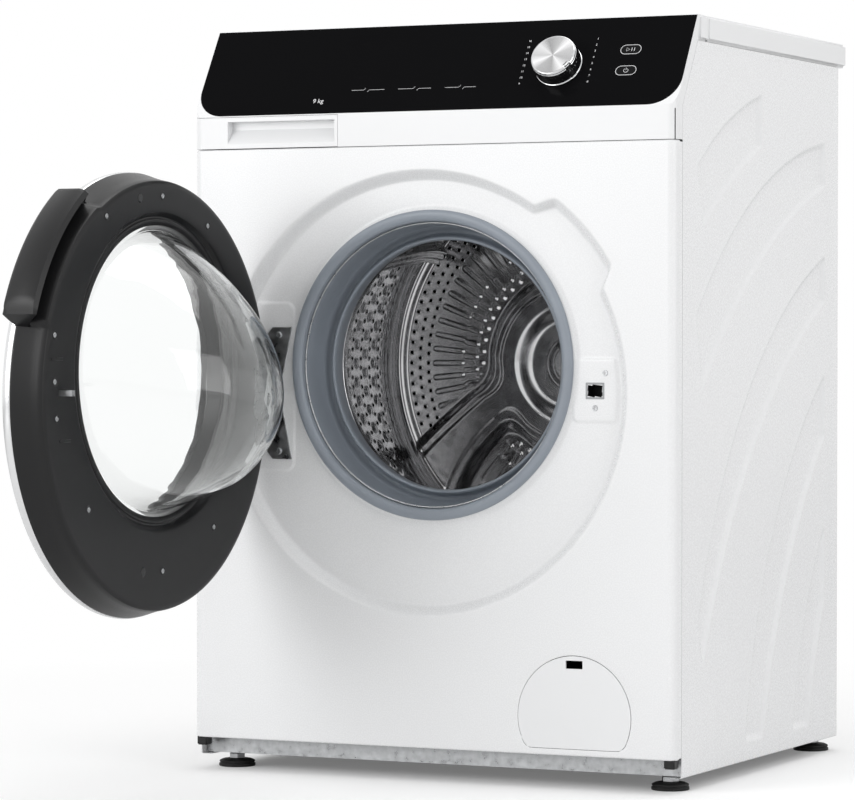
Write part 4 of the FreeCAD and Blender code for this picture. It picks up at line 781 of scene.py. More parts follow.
def makeKnob():
    rows = softProfile([(0.0, 21.3), (9, 21.5), (23.2, 22.0), (24.9, 22.1), (26.0, 20.9), (26.1, 19.6), (25.7, 19.2),
                        (25.7, 18.8), (26.3, 18.4), (26.9, 3.6), (26.5, 3.1), (26.5, 2.6), (27.4, 2.2), (27.4, 0.3)], 0.5, 3)
    steps = 260
    verts = []
    notch = math.radians(-35)
    for r, h in rows:
        for k in range(steps):
            a = 2 * math.pi * k / steps
            off = (a - notch + math.pi) % (2 * math.pi) - math.pi
            cut = 1 - float(softStep((abs(off) * 26 - 3.0) / 1.6))
            depth = 3.0 * cut * float(softStep((h - 8.0) / 6.0)) * float(softStep((r - 21.5) / 2.5))
            verts.append(((r - depth) * math.cos(a) * 0.001, (r - depth) * math.sin(a) * 0.001, (h - 0.5 * cut * float(r > 21)) * 0.001))
    knob = addPiece("knobBody", verts, gridFaces(len(rows), steps, wrapColumns=True), chromeSide, "knob", 30,
                    place=slopeMatrix(*panelSizes["knobAt"]))
    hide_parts("program_knob")
    face = []
    dish = [(0.05, 21.6), (8, 21.7), (16, 21.95), (23.2, 22.2), (23.9, 22.15)]
    for r, h in dish:
        for k in range(steps):
            a = 2 * math.pi * k / steps
            off = (a - notch + math.pi) % (2 * math.pi) - math.pi
            cut = 1 - float(softStep((abs(off) * 24 - 3.0) / 1.6))
            face.append(((r - 3.0 * cut * float(r > 21.5)) * math.cos(a) * 0.001,
                         (r - 3.0 * cut * float(r > 21.5)) * math.sin(a) * 0.001, h * 0.001))
    addPiece("knobFace", face, gridFaces(len(dish), steps, wrapColumns=True), spunAluminium, "knob", 30,
             place=slopeMatrix(*panelSizes["knobAt"]))


def pillPath(length, tall, count=18):
    r, run = tall / 2, (length - tall) / 2
    right = [(run + r * math.cos(a), r * math.sin(a)) for a in np.linspace(-math.pi / 2, math.pi / 2, count)]
    left = [(-run + r * math.cos(a), r * math.sin(a)) for a in np.linspace(math.pi / 2, 3 * math.pi / 2, count)]
    return right + left


def printedLine(name, path, width, body, place, closed=False, lift=0.04):
    # a flat printed stroke along a path, with a little thickness
    count = len(path)
    verts, faces = [], []
    for i, point in enumerate(path):
        here = Vector(point)
        after = Vector(path[(i + 1) % count]) if closed or i < count - 1 else here
        before = Vector(path[i - 1]) if closed or i > 0 else here
        way = (after - before).normalized()
        side = Vector((-way.y, way.x)) * width / 2
        for offset, h in ((side, lift), (-side, lift), (-side, 0.005), (side, 0.005)):
            verts.append(((here.x + offset.x) * 0.001, (here.y + offset.y) * 0.001, h * 0.001))
    for i in range(count if closed else count - 1):
        a, b = i * 4, (i + 1) % count * 4
        for k in range(3):
            faces.append([a + k, a + k + 1, b + k + 1, b + k])
    return addPiece(name, verts, faces, inkWhite, body, 30, place=place, merge=False)


def circlePath(radius, start, end, count=28, centre=(0, 0)):
    return [(centre[0] + radius * math.cos(a), centre[1] + radius * math.sin(a))
            for a in np.linspace(math.radians(start), math.radians(end), count)]


def printedText(name, text, size, place, body):
    curve = bpy.data.curves.new(name, "FONT")
    curve.body = text
    curve.size = size * 0.001
    curve.align_x = "CENTER"
    curve.align_y = "CENTER"
    curve.extrude = 0.00001
    curve.offset = size * 0.000012
    words = bpy.data.objects.new(name, curve)
    scene.collection.objects.link(words)
    words.matrix_world = place
    curve.materials.append(inkWhite)
    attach(words, body)
    return words


def makePanelMarks():
    s = panelSizes
    (startX, startY, startBody), (powerX, powerY, powerBody) = s["keys"]
    for x, along, body in s["keys"]:
        printedLine("keyOutline_" + body, pillPath(24.0, 12.0), s["line"] + 0.15, body, slopeMatrix(x, along), closed=True)
    sign = slopeMatrix(startX, startY)
    printedLine("startTriangle", [(-5.0, -2.2), (-5.0, 2.2), (-1.2, 0.0)], s["line"], startBody, sign, closed=True)
    for k, x in enumerate((1.2, 4.2)):
        printedLine("pauseBar" + str(k), [(x, -2.3), (x, 2.3)], s["line"] + 0.2, startBody, sign)
    sign = slopeMatrix(powerX, powerY)
    printedLine("powerRing", circlePath(2.6, 125, 415), s["line"], powerBody, sign)
    printedLine("powerBar", [(0, 0.6), (0, 3.6)], s["line"], powerBody, sign)
    printedText("weightMark", "9 kg", s["weightSize"], slopeMatrix(*s["weightAt"], lift=0.03), "cabinet")
    steps = np.linspace(s["numberHigh"], s["numberLow"], 8)
    for k, along in enumerate(steps):
        printedText("number_" + str(k + 1), str(k + 1), s["numberSize"], slopeMatrix(s["rightNumbers"], along, lift=0.03), "cabinet")
        printedText("number_" + str(16 - k), str(16 - k), s["numberSize"], slopeMatrix(s["leftNumbers"], along, lift=0.03), "cabinet")
    x0, x1, along = s["rowAt"]
    spans = [(0.0, 0.1), (0.13, 0.24), (0.34, 0.46), (0.49, 0.58), (0.68, 0.79), (0.82, 0.9)]
    for k, (a, b) in enumerate(spans):
        start, end = x0 + (x1 - x0) * a, x0 + (x1 - x0) * b
        path = [(start, 0.0), (end - 2.0, 0.0), (end, 2.6)] if k % 2 == 0 else [(start - 2.0, -2.6), (start, 0.0), (end, 0.0)]
        printedLine("rowStroke_" + str(k), path, 0.45, "cabinet", slopeMatrix(0, along))


makeKnob()
makePanelMarks()
print("control panel made")


# door: black frame with its handle, silver rim, outer bezel and the glass bowl, drawn shut and swung open

doorSizes = {
    "x": -3.0, "radius": 242.0, "windowZ": 459.0, "windowRadius": 157.0, "face": 4.0, "split": -31.0, "front": -44.0,
    "handleFrom": 18.0, "handleTo": 60.0, "hookAt": (197.0, 437.5),
    "plainEdge": [(226, 4.0), (229.5, 3.7), (231.8, 2.4), (232.9, 0.0), (233.6, -3.5), (234.4, -8), (235.4, -12), (236.4, -15.5),
                  (237.4, -19), (238.6, -23), (239.8, -27), (240.6, -29.5), (241, -31)],
    "handleEdge": [(228, 4.0), (233, 3.9), (236.2, 3.0), (237.6, 0.0), (239, -12), (243, -18.5), (248.5, -18.5), (252.2, -13), (253.4, -1.5),
                   (255, 1.2), (260, -2.0), (262, -9), (262, -34)],
    "screws": [(-6.2, 648.1, "screw"), (106.7, 623.2, "screw"), (-101.2, 618.4, "screw"), (206.9, 497.7, "screw"), (206.9, 449.3, "screw"),
               (203.2, 411.1, "screw"), (142.1, 314.8, "screw"), (-6.2, 243.0, "screw"), (-114.3, 286.0, "screw"), (40.8, 644.4, "plug"),
               (34.8, 244.1, "plug"), (203.2, 472.9, "rib"), (188.1, 388.0, "rib")],
}
doorZ = (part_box("door_rim")[0][2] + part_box("door_rim")[1][2]) * 500


def eccentricRings(name, rows, material, steps=420, sharp=30, keep=None):
    # rows are (share, radius, depth) or functions of the angle; share 0 is centred on the window, 1 on the door
    s = doorSizes
    angles = np.linspace(0, 2 * math.pi, steps, endpoint=False)
    closedPoints = []
    for row in rows:
        for a in angles:
            share, r, d = row(a) if callable(row) else row
            z = s["windowZ"] * (1 - share) + doorZ * share
            closedPoints.append((s["x"] + r * math.cos(a), d, z + r * math.sin(a)))
    faces = gridFaces(len(rows), steps, wrapColumns=True)
    if keep:
        faces = [f for f in faces if keep(*[sum(closedPoints[i][k] for i in f) / 4 for k in range(3)])]
    return addPiece(name, [swungOpen(at(*p)) for p in closedPoints], faces, material, "door", sharp)


def handleShare(angle):
    s = doorSizes
    a = math.degrees(angle)
    return float(softStep((a - s["handleFrom"]) / 1.6) * softStep((s["handleTo"] - a) / 3.2))


def makeDoorFrame():
    s = doorSizes
    rows = [(0, 157.0, s["split"]), (0, 157.0, -2.0), (0, 157.4, -0.6), (0, 158.6, 0.2), (0, 163.0, 0.6), (0, 164.2, 0.2),
            (0, 165.0, -0.9), (0, 167.0, -1.1), (0, 168.2, -0.2), (0, 170.5, 2.9), (0.01, 172.0, 3.8), (0.02, 174.5, 4.0),
            (0.3, 188, 4.0), (0.6, 203, 4.0), (0.85, 217, 4.0)]

    def edgeRow(k):
        plain, held = s["plainEdge"][k], s["handleEdge"][k]

        def row(a):
            w = handleShare(a)
            reach = min(held[0], 241.5 / max(math.cos(a), 0.3))
            return 1, plain[0] * (1 - w) + reach * w, plain[1] * (1 - w) + held[1] * w
        return row
    rows += [edgeRow(k) for k in range(len(s["plainEdge"]))]

    def gripLip(radius, depth, flatRadius, flatDepth):
        def row(a):
            w = handleShare(a)
            reach = min(radius, 241.0 / max(math.cos(a), 0.3))
            return 1, flatRadius * (1 - w) + reach * w, flatDepth * (1 - w) + depth * w
        return row
    rows += [gripLip(259.5, -38.5, 241.0, -31.2), gripLip(256.0, -40.0, 240.8, -31.3), gripLip(242.6, -40.0, 240.6, -31.4)]
    hingeX = hingePin.x * 1000
    frameSkin = eccentricRings("doorFrameSkin", rows, satinBlack,
                               keep=lambda x, d, z: not (x < hingeX + 9 and abs(z - doorZ) < 31 and d > s["split"]))
    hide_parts("door_frame")
    for k, (x, z, kind) in enumerate(s["screws"]):
        if kind == "screw":
            doorScrew("doorScrew_" + str(k), x, z)
        elif kind == "plug":
            turned("doorPlug_" + str(k), softProfile([(0.05, 4.3), (4.2, 4.3), (5.2, 4.0), (5.2, 3.4)], 0.5), (x, z), glossBlack, "door",
                   40, door=True)
        else:
            cutBox("doorRib_" + str(k), (x - 11, x + 11), (3.6, 4.9), (z - 1.6, z + 1.6), satinBlack, "door", 0.5,
                   door=True)


def doorScrew(name, x, z):
    well = softProfile([(4.6, 4.02), (4.4, 4.5), (3.6, 4.5), (3.4, 4.05), (2.9, 3.9)], 0.3, 3)
    turned(name + "_well", well, (x, z), satinBlack, "door", 36, door=True)
    head = softProfile([(0.05, 3.9), (0.8, 4.0), (1.2, 4.35), (2.4, 4.3), (2.9, 3.9)], 0.25, 3)
    turned(name + "_head", head, (x, z), zincSteel, "door", 30, door=True)


def makeDoorRim():
    s = doorSizes
    rim = [(240.4, -31.0), (241.6, -32.2), (242.0, -34.0), (241.6, -37.4), (240.0, -40.6), (237.0, -42.9), (233.0, -43.9),
           (229.6, -44.0), (228.8, -43.6), (228.6, -42.4)]
    ring = eccentricRings("doorRimRing", [(1, r, d) for r, d in rim], silverTrim)
    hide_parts("door_rim")
    face = [(1, 228.7, -42.6), (1, 228.2, -43.2), (1, 226.0, -43.4), (0.7, 209, -43.4), (0.35, 188, -43.2), (0.05, 168, -43.0),
            (0, 162.5, -42.4), (0, 159.6, -40.8), (0, 158.0, -38.0), (0, 157.2, -34.0), (0, 157.0, -31.0)]
    eccentricRings("doorOuterFace", face, glossBlack)


glassSizes = {
    # depth behind the rim, radius, drop of the ring's centre below the window's
    "rings": [(0, 152.4, 0.0), (29, 140.2, 4.2), (58, 124.5, 10.6), (88, 103.5, 18.3), (111, 80.5, 22.0), (129, 54.7, 25.0), (138.5, 31.0, 27.0),
              (142.5, 12.0, 28.0), (143.2, 0.2, 28.2)],
    "wall": 4.0, "flange": 166.0,
}


def smoothThrough(points, steps):
    pts = np.array([points[0], *points, points[-1]], dtype=float)
    out = []
    for i in range(1, len(pts) - 2):
        p0, p1, p2, p3 = pts[i - 1:i + 3]
        for t in np.linspace(0, 1, steps, endpoint=False):
            out.append(0.5 * (2 * p1 + (p2 - p0) * t + (2 * p0 - 5 * p1 + 4 * p2 - p3) * t ** 2 + (3 * p1 - p0 - 3 * p2 + p3) * t ** 3))
    out.append(pts[-2])
    return np.array(out)


def makeDoorGlass():
    s = glassSizes
    start = doorSizes["face"] - 8
    outer = smoothThrough(s["rings"], 9)
    slope = np.gradient(outer[:, :2], axis=0)
    length = np.hypot(slope[:, 0], slope[:, 1]) + 1e-9
    inner = outer.copy()
    inner[:, 0] -= s["wall"] * -slope[:, 1] / length
    inner[:, 1] -= s["wall"] * slope[:, 0] / length
    inner[:, 1] = np.maximum(inner[:, 1], 0.1)
    rows = [(start + d, r, drop) for d, r, drop in reversed(outer.tolist())]
    rows += [(start + 0.4, 156.0, 0), (start, 158, 0), (start, s["flange"] - 0.6, 0), (start - 0.6, s["flange"], 0),
             (start - 4.4, s["flange"], 0), (start - 5, s["flange"] - 0.6, 0), (start - 5, 152.0, 0), (start - 4.2, 149.6, 0)]
    rows += [(start + max(d, -3.5), r, drop) for d, r, drop in inner.tolist()]
    angles = np.linspace(0, 2 * math.pi, 240, endpoint=False)
    verts = [swungOpen(at(doorSizes["x"] + r * math.cos(a), d, doorSizes["windowZ"] - drop + r * math.sin(a)))
             for d, r, drop in rows for a in angles]
    glass = addPiece("doorGlassBowl", verts, gridFaces(len(rows), len(angles), wrapColumns=True), windowGlass, "door", 60)
    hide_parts("door_glass")


makeDoorFrame()
makeDoorRim()
makeDoorGlass()
print("door made")


# door seal

sealSizes = {
    "profile": [(168.0, 13.5), (173.0, 10.0), (173.6, 6.6), (171.6, 3.6), (167.6, 2.8), (163.4, 3.4), (160.6, 5.6), (160.0, 8.4),
                (161.6, 10.0), (161.4, 11.6), (159.2, 12.8), (158.0, 17.0), (157.6, 26.0), (157.4, 38.0), (156.6, 50.0), (153.6, 58.5),
                (149.4, 60.4), (146.6, 57.0), (145.6, 50.0), (143.2, 47.6), (140.8, 49.0), (140.4, 54.0), (141.6, 62.0), (143.0, 70.0),
                (144.6, 77.0), (147.0, 78.0), (149.0, 74.0), (152.0, 66.0), (164.0, 63.0), (171.4, 64.0), (171.6, 74.0)],
    "bendFrom": 20.0, "bendTo": 60.0,
}


def makeSeal():
    s = sealSizes
    profile = softProfile(s["profile"], 2.6, 4)
    seal = turned("doorSeal", profile, (0, drumZ), sealRubber, None, 300, sharp=50)
    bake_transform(seal)
    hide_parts("gasket")


makeSeal()
print("seal made")


# drum: front lip, pierced and dimpled shell, embossed back and three lifters

drumSizes = {
    "radius": 245.0, "front": 114.0, "back": 409.0, "pitch": 23.0, "dimple": 1.9, "dimpleRadius": 8.0, "hole": 2.3,
    "hub": 112.0, "dish": 74.0, "armAngle": 206.0, "armRise": 15.0, "armHalf": 34.0,
    "holeRings": (197.0, 208.5, 220.0), "lifterAngle": 22.0, "lifterHalf": 34.0, "lifterHeight": 46.0,
}


def lifterShare(angle, margin=0.0):
    s = drumSizes
    off = np.abs((np.degrees(angle) - s["lifterAngle"] + 60) % 120 - 60) * s["radius"] * math.pi / 180
    return off < s["lifterHalf"] + margin


def makeDrumFront():
    lip = softProfile([(245.6, 114.2), (245.6, 107), (243, 101.5), (236, 98.4), (200, 96.0), (161, 92.6), (156, 89.6), (152.6, 88.0),
                       (150.2, 88.8), (149.8, 91.2), (150.0, 98.6), (151.4, 100.0)], 2.0, 4)
    front = turned("drumFrontLip", lip, (0, drumZ), drumSteel, "drum", 260, sharp=60)
    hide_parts("drum_front")


def dimpleHeight(along, depth):
    s = drumSizes
    row = np.round(depth / s["pitch"])
    shift = np.where(row % 2 == 0, 0.0, 0.5)
    column = np.round(along / s["pitch"] - shift)
    off = np.hypot(along - (column + shift) * s["pitch"], (depth - row * s["pitch"]) * 1.15)
    return s["dimple"] * softStep((s["dimpleRadius"] - off) / 5.5)


def addPits(name, places, radius, body):
    # punched holes: a raised rim, and a black disc of painted shade for the dark seen through the hole, each facing
    # its own way
    verts, faces, rimVerts, rimFaces = [], [], [], []
    count = 12
    for centre, normal in places:
        n = Vector(normal).normalized()
        a = n.orthogonal().normalized()
        b = n.cross(a)
        base = len(verts)
        for k in range(count):
            t = 2 * math.pi * k / count
            verts.append(Vector(centre) + (a * math.cos(t) + b * math.sin(t)) * radius * 0.001 + n * 0.0003)
        faces.append([base + k for k in range(count)])
        base = len(rimVerts)
        for r, h in ((1.5, 0.02), (1.28, 0.42), (1.0, 0.5), (0.92, 0.28)):
            for k in range(count):
                t = 2 * math.pi * k / count
                rimVerts.append(Vector(centre) + (a * math.cos(t) + b * math.sin(t)) * radius * r * 0.001 + n * h * 0.001)
        rimFaces.extend([[base + i for i in f] for f in gridFaces(4, count, wrapColumns=True)])
    addPiece(name, verts, faces, holeShadeBlack, body, 30, merge=False, solid=False)
    addPiece(name + "_rims", rimVerts, rimFaces, drumSteel, body, 60, merge=False, solid=False)


def makeDrumShell():
    s = drumSizes
    around, deep = 760, 132
    angles = np.linspace(0, 2 * math.pi, around, endpoint=False)
    depths = np.linspace(s["front"], s["back"], deep)
    a, d = np.meshgrid(angles, depths)
    turn = 2 * math.pi * s["radius"] / (round(2 * math.pi * s["radius"] / s["pitch"]) * s["pitch"])
    along = a * s["radius"] / turn
    rise = dimpleHeight(along, d - 12) * (~lifterShare(a, 8)) * softStep((s["back"] - 26 - d) / 8) * softStep((d - s["front"] - 4) / 8)
    for ridge in (s["back"] - 20, s["back"] - 12, s["back"] - 4):
        rise = rise + 1.6 * softStep(1 - np.abs(d - ridge) / 3.0)
    r = s["radius"] - rise
    x, z = r * np.cos(a), drumZ + r * np.sin(a)
    verts = [at(*p) for p in zip(x.ravel(), d.ravel(), z.ravel())]
    shell = addPiece("drumShellSkin", verts, gridFaces(deep, around, wrapColumns=True), drumSteel, "drum", 60, merge=False,
                     solid=False)
    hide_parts("drum_shell")
    holes = []
    columns = round(2 * math.pi * s["radius"] / s["pitch"])
    for row in range(12):
        depth = 12 + s["pitch"] * (row + 4.5) + 0.0
        if not s["front"] + 6 < depth < s["back"] - 28:
            continue
        for column in range(2 * columns):
            angle = (column / 2 + 0.25) * s["pitch"] * turn / s["radius"]
            if lifterShare(angle, 6):
                continue
            way = Vector((math.cos(angle), 0, math.sin(angle)))
            spot = Vector(at(s["radius"] * way.x, depth, drumZ + s["radius"] * way.z))
            holes.append((spot, -way))
    addPits("shellHoles", holes, s["hole"], "drum")


def armField(x, z):
    # how far inside the hub and its three arms a point lies
    s = drumSizes
    r = np.hypot(x, z)
    inside = s["hub"] - r
    for k in range(3):
        a = math.radians(s["armAngle"] + 120 * k)
        bend = 0.0016 * (r - 110)
        along = x * np.cos(a + bend) + z * np.sin(a + bend)
        across = -x * np.sin(a + bend) + z * np.cos(a + bend)
        width = s["armHalf"] + 0.0011 * np.maximum(r - 120, 0) ** 2
        arm = np.where(along > 0, width - np.abs(across), -50.0)
        blend = np.clip(0.5 + 0.5 * (arm - inside) / 28.0, 0, 1)
        inside = inside * (1 - blend) + arm * blend + 28.0 * blend * (1 - blend) * 0.5
    return inside


def backDepth(x, z):
    s = drumSizes
    r = np.hypot(x, z)
    inside = armField(x, z)
    rise = s["armRise"] * softStep((inside + 4) / 16) + 2.2 * softStep((inside - 17) / 6) * softStep((238 - r) / 10)
    rise = rise * softStep((240 - r) / 14)
    rise = rise - 9.0 * softStep((s["dish"] - r) / 22) + 5.0 * softStep((34 - r) / 12)
    angle = np.arctan2(z, x)
    for radius, length, half, count, shift in ((170.0, 21.0, 3.4, 66, 0.0), (140.0, 10.0, 3.6, 54, 0.5), (126.0, 6.0, 3.6, 54, 0.0)):
        column = np.round(angle / (2 * math.pi) * count - shift) + shift
        off = (angle - column * 2 * math.pi / count) * r
        spot = np.maximum(np.abs(r - radius) - length + half, 0)
        rise = rise + 1.7 * softStep((half - np.hypot(off, spot)) / 2.6 + 0.3) * softStep((-inside - 6) / 8)
    for ring in (228.0, 234.5, 241.0):
        rise = rise + 2.0 * softStep(1 - np.abs(r - ring) / 2.8)
    return s["back"] + 5.0 - rise - 5.0 * softStep((r - 236) / 6)


def makeDrumBack():
    s = drumSizes
    angles = np.linspace(0, 2 * math.pi, 900, endpoint=False)
    radii = np.concatenate([[0.4], np.linspace(4, s["radius"], 170)])
    r, a = np.meshgrid(radii, angles, indexing="ij")
    x, z = r * np.cos(a), r * np.sin(a)
    d = backDepth(x, z)
    verts = [at(*p) for p in zip(x.ravel(), d.ravel(), (drumZ + z).ravel())]
    back = addPiece("drumBackPressing", verts, gridFaces(len(radii), len(angles), wrapColumns=True), drumSteel, "drum", 60,
                    merge=False, solid=False)
    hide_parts("drum_back")
    holes = []
    for k, radius in enumerate(s["holeRings"]):
        count = 108
        for i in range(count):
            angle = 2 * math.pi * (i + 0.5 * (k % 2)) / count
            hx, hz = radius * math.cos(angle), radius * math.sin(angle)
            if float(armField(np.array(hx), np.array(hz))) > -5:
                continue
            spot = Vector(at(hx, float(backDepth(np.array(hx), np.array(hz))), drumZ + hz))
            holes.append((spot, (0, -1, 0)))
    addPits("backHoles", holes, s["hole"], "drum")


def makeLifters():
    s = drumSizes
    us, vs = np.linspace(-1, 1, 61), np.linspace(0, 1, 90)
    first = None
    for k in range(3):
        verts = []
        for v in vs:
            depth = 122 + (394 - 122) * v
            ends = float(softStep(v / 0.16) * softStep((1 - v) / 0.12))
            bend = math.radians(2.4) * math.sin(2 * math.pi * v)
            for u in us:
                width = abs(u)
                crown = float(softStep((1.0 - width) / 0.72))
                grooves = 1.1 * math.cos(u * 20) * float(softStep((0.5 - width) / 0.2))
                rise = (s["lifterHeight"] * crown + grooves) * ends - 0.6 * (1 - crown)
                angle = math.radians(s["lifterAngle"] + 120 * k) + bend + u * s["lifterHalf"] / s["radius"]
                r = s["radius"] - rise
                verts.append(at(r * math.cos(angle), depth, drumZ + r * math.sin(angle)))
        lifter = addPiece("drumLifter_" + str(k + 1), verts, gridFaces(len(vs), len(us)), drumSteel, "drum", 60, merge=False,
                          solid=False)
        first = first or lifter
    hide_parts("drum_lifters")


makeDrumFront()
makeDrumShell()
makeDrumBack()
makeLifters()
print("drum made")


# feet, bumpers and small fittings

footSizes = {"pad": 21.0, "padHeight": 9.0, "nut": 9.8, "nutTop": 15.0, "stud": 5.0, "studTop": 42.0, "thread": 1.6}


def makeFoot(joint, node):
    s = footSizes
    pos = jointOf[joint]["pos_m"]
    centre = (pos[0] * 1000, (pos[1] - frontY) * 1000)
    body = jointOf[joint]["child"]
    pad = softProfile([(16.0, 0.6), (17.0, 0.0), (20.6, 0.0), (s["pad"], 0.8), (s["pad"], 3.2), (19.6, 3.8), (19.6, 4.6), (s["pad"] - 0.4, 5.2),
                       (s["pad"] - 0.8, 6.6), (16.6, 8.2), (11.0, s["padHeight"])], 0.4, 3)
    padPiece = turnedUp(node + "_pad", pad, centre, blackRubber, body, 72,
                        shape=lambda a: 1.0 + 0.006 * math.cos(24 * a))
    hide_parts(node)
    nut = [(s["nut"] - 0.8, s["padHeight"] - 0.2), (s["nut"], s["padHeight"] + 0.6), (s["nut"], s["nutTop"] - 0.6), (s["nut"] - 0.9, s["nutTop"])]
    turnedUp(node + "_nut", nut, centre, zincSteel, body, 6, sharp=20)
    rows, z = [], s["nutTop"] - 0.5
    while z < s["studTop"]:
        rows += [(s["stud"], z), (s["stud"] - 0.55, z + s["thread"] / 2)]
        z += s["thread"]
    turnedUp(node + "_stud", rows, centre, zincSteel, body, 32, sharp=80)


for footJoint, footNode in (("front_left_foot_turn", "foot_front_left"), ("front_right_foot_turn", "foot_front_right"),
                            ("rear_left_foot_turn", "foot_rear_left"), ("rear_right_foot_turn", "foot_rear_right")):
    makeFoot(footJoint, footNode)


def makeFittings():
    low = frontLow[2] * 1000
    for side, label in ((-1, "left"), (1, "right")):
        x0, x1 = sorted((side * (half - 15), side * (half - 2.5)))
        cutBox("cornerBumper_" + label, (x0, x1), (3.0, 17.0), (low - 9.5, low + 3.0), satinBlack, "cabinet", 1.2)
    slotX, slotZ, slotW, slotH = frontPanelSizes["slot"]
    for name, x, z in (("lockFrameLeft", (slotX - slotW - 1.6, slotX - slotW + 0.6), (slotZ - slotH - 1.6, slotZ + slotH + 1.6)),
                       ("lockFrameRight", (slotX + slotW - 0.6, slotX + slotW + 1.6), (slotZ - slotH - 1.6, slotZ + slotH + 1.6)),
                       ("lockFrameLow", (slotX - slotW, slotX + slotW), (slotZ - slotH - 1.6, slotZ - slotH + 0.6)),
                       ("lockFrameHigh", (slotX - slotW, slotX + slotW), (slotZ + slotH - 0.6, slotZ + slotH + 1.6))):
        cutBox(name, x, (12.2, 14.4), z, greyMoulding, "cabinet", 0.4)


makeFittings()
print("feet and fittings made")


# floor, light and camera

stageSizes = {"floor": 9.0, "wall": 3.4, "world": 0.66, "key": 66.0, "fill": 30.0, "top": 30.0}


def backdropMaterial():
    material = bpy.data.materials.new("paleFloor")
    material.use_nodes = True
    nodes, links = material.node_tree.nodes, material.node_tree.links
    nodes.clear()
    output = nodes.new("ShaderNodeOutputMaterial")
    surface = nodes.new("ShaderNodeBsdfDiffuse")
    surface.inputs["Color"].default_value = (0.82, 0.82, 0.82, 1)
    glow = nodes.new("ShaderNodeEmission")
    glow.inputs["Color"].default_value = (1, 1, 1, 1)
    glow.inputs["Strength"].default_value = 0.16
    added = nodes.new("ShaderNodeAddShader")
    rays = nodes.new("ShaderNodeLightPath")
    seen = nodes.new("ShaderNodeMath")
    seen.operation = "MAXIMUM"
    links.new(rays.outputs["Is Camera Ray"], seen.inputs[0])
    links.new(rays.outputs["Is Transmission Ray"], seen.inputs[1])
    place, away, reach, faded = (nodes.new("ShaderNode" + k) for k in ("TexCoord", "VectorMath", "MapRange", "MixShader"))
    away.operation = "LENGTH"
    reach.inputs["From Min"].default_value = 0.5
    reach.inputs["From Max"].default_value = 1.5
    links.new(place.outputs["Object"], away.inputs[0])
    links.new(away.outputs["Value"], reach.inputs["Value"])
    links.new(reach.outputs["Result"], faded.inputs[0])
    bright = nodes.new("ShaderNodeEmission")
    bright.inputs["Color"].default_value = (1, 1, 1, 1)
    lit = nodes.new("ShaderNodeMixShader")
    links.new(seen.outputs[0], lit.inputs[0])
    links.new(surface.outputs[0], added.inputs[0])
    links.new(glow.outputs[0], added.inputs[1])
    links.new(surface.outputs[0], lit.inputs[1])
    links.new(added.outputs[0], faded.inputs[1])
    links.new(bright.outputs[0], faded.inputs[2])
    links.new(faded.outputs[0], lit.inputs[2])
    links.new(lit.outputs[0], output.inputs["Surface"])
    return material


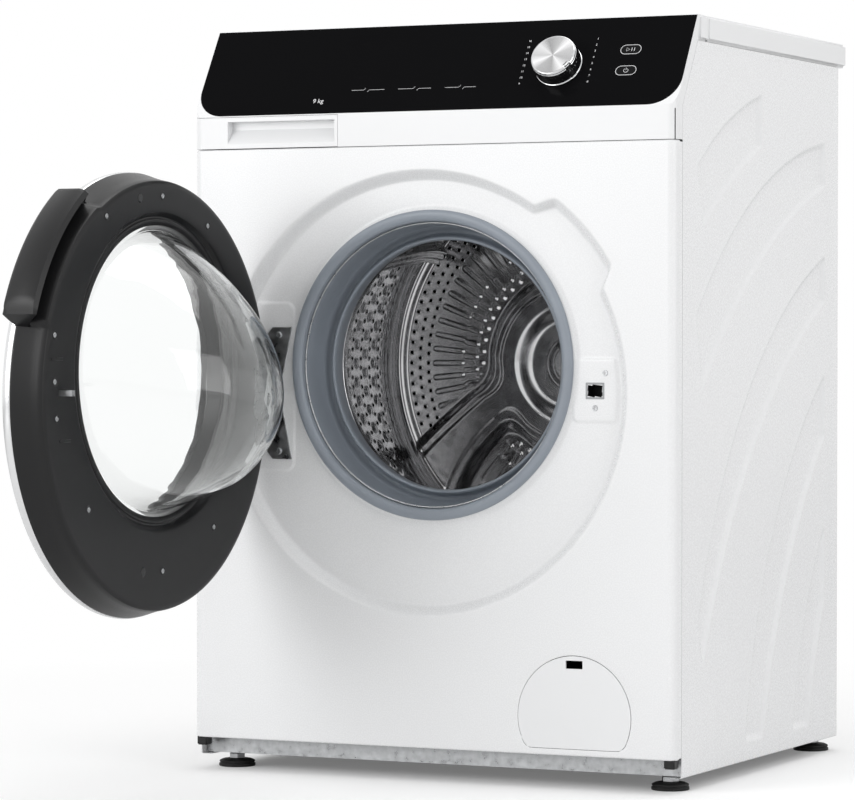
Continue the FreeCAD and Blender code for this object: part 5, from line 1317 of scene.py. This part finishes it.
def makeStage():
    s = stageSizes
    mesh = bpy.data.meshes.new("paleFloor")
    r = s["floor"]
    mesh.from_pydata([(-r, -r, 0), (r, -r, 0), (r, r, 0), (-r, r, 0)], [], [[0, 1, 2, 3]])
    floor = bpy.data.objects.new("paleFloor", mesh)
    scene.collection.objects.link(floor)
    mesh.materials.append(backdropMaterial())
    world = bpy.data.worlds.new("plainStudio")
    scene.world = world
    world.use_nodes = True
    nodes, links = world.node_tree.nodes, world.node_tree.links
    nodes.clear()
    output, soft, white = nodes.new("ShaderNodeOutputWorld"), nodes.new("ShaderNodeBackground"), nodes.new("ShaderNodeBackground")
    soft.inputs["Strength"].default_value = s["world"]
    white.inputs["Strength"].default_value = 1.0
    soft.inputs["Color"].default_value = (1, 1, 1, 1)
    white.inputs["Color"].default_value = (1, 1, 1, 1)
    rays, seen, mixed = nodes.new("ShaderNodeLightPath"), nodes.new("ShaderNodeMath"), nodes.new("ShaderNodeMixShader")
    seen.operation = "MAXIMUM"
    links.new(rays.outputs["Is Camera Ray"], seen.inputs[0])
    also = nodes.new("ShaderNodeMath")
    also.operation = "MAXIMUM"
    links.new(rays.outputs["Is Glossy Ray"], also.inputs[0])
    links.new(rays.outputs["Is Transmission Ray"], also.inputs[1])
    links.new(also.outputs[0], seen.inputs[1])
    links.new(seen.outputs[0], mixed.inputs[0])
    links.new(soft.outputs[0], mixed.inputs[1])
    links.new(white.outputs[0], mixed.inputs[2])
    links.new(mixed.outputs[0], output.inputs["Surface"])


def addSoftLight(name, place, target, size, power):
    data = bpy.data.lights.new(name, "AREA")
    data.shape = "RECTANGLE"
    data.size, data.size_y = size
    data.energy = power
    lamp = bpy.data.objects.new(name, data)
    scene.collection.objects.link(lamp)
    lamp.location = place
    lamp.rotation_euler = (Vector(target) - Vector(place)).to_track_quat("-Z", "Y").to_euler()


cameraSizes = {"place": (1.8257, -4.0913, 0.4911), "yaw": 25.614, "pitch": -0.8755, "roll": 0.0582, "lens": 159.762,
               "shift": (0.00124, -0.0003)}


def makeCamera():
    s = cameraSizes
    yaw, pitch, roll = (math.radians(s[k]) for k in ("yaw", "pitch", "roll"))
    forward = Vector((-math.sin(yaw) * math.cos(pitch), math.cos(yaw) * math.cos(pitch), math.sin(pitch)))
    right = Vector((math.cos(yaw), math.sin(yaw), 0))
    up = right.cross(forward)
    across = right * math.cos(roll) + up * math.sin(roll)
    upright = up * math.cos(roll) - right * math.sin(roll)
    data = bpy.data.cameras.new("viewCamera")
    data.sensor_width = 36.0
    data.lens = s["lens"]
    data.shift_x, data.shift_y = s["shift"]
    data.clip_end = 60.0
    camera = bpy.data.objects.new("viewCamera", data)
    scene.collection.objects.link(camera)
    camera.matrix_world = Matrix.Translation(s["place"]) @ Matrix((across, upright, -forward)).transposed().to_4x4()
    scene.camera = camera


makeStage()
addSoftLight("keyLight", (-2.0, -3.6, 1.7), (0, -0.2, 0.4), (2.2, 2.2), stageSizes["key"])
addSoftLight("fillLight", (3.4, -1.6, 1.6), (0.2, 0, 0.45), (2.4, 2.4), stageSizes["fill"])
addSoftLight("topLight", (0.3, 0.2, 3.2), (0, 0, 0.8), (2.0, 2.0), stageSizes["top"])
makeCamera()
scene.view_settings.view_transform = "Standard"
print("stage and camera made")
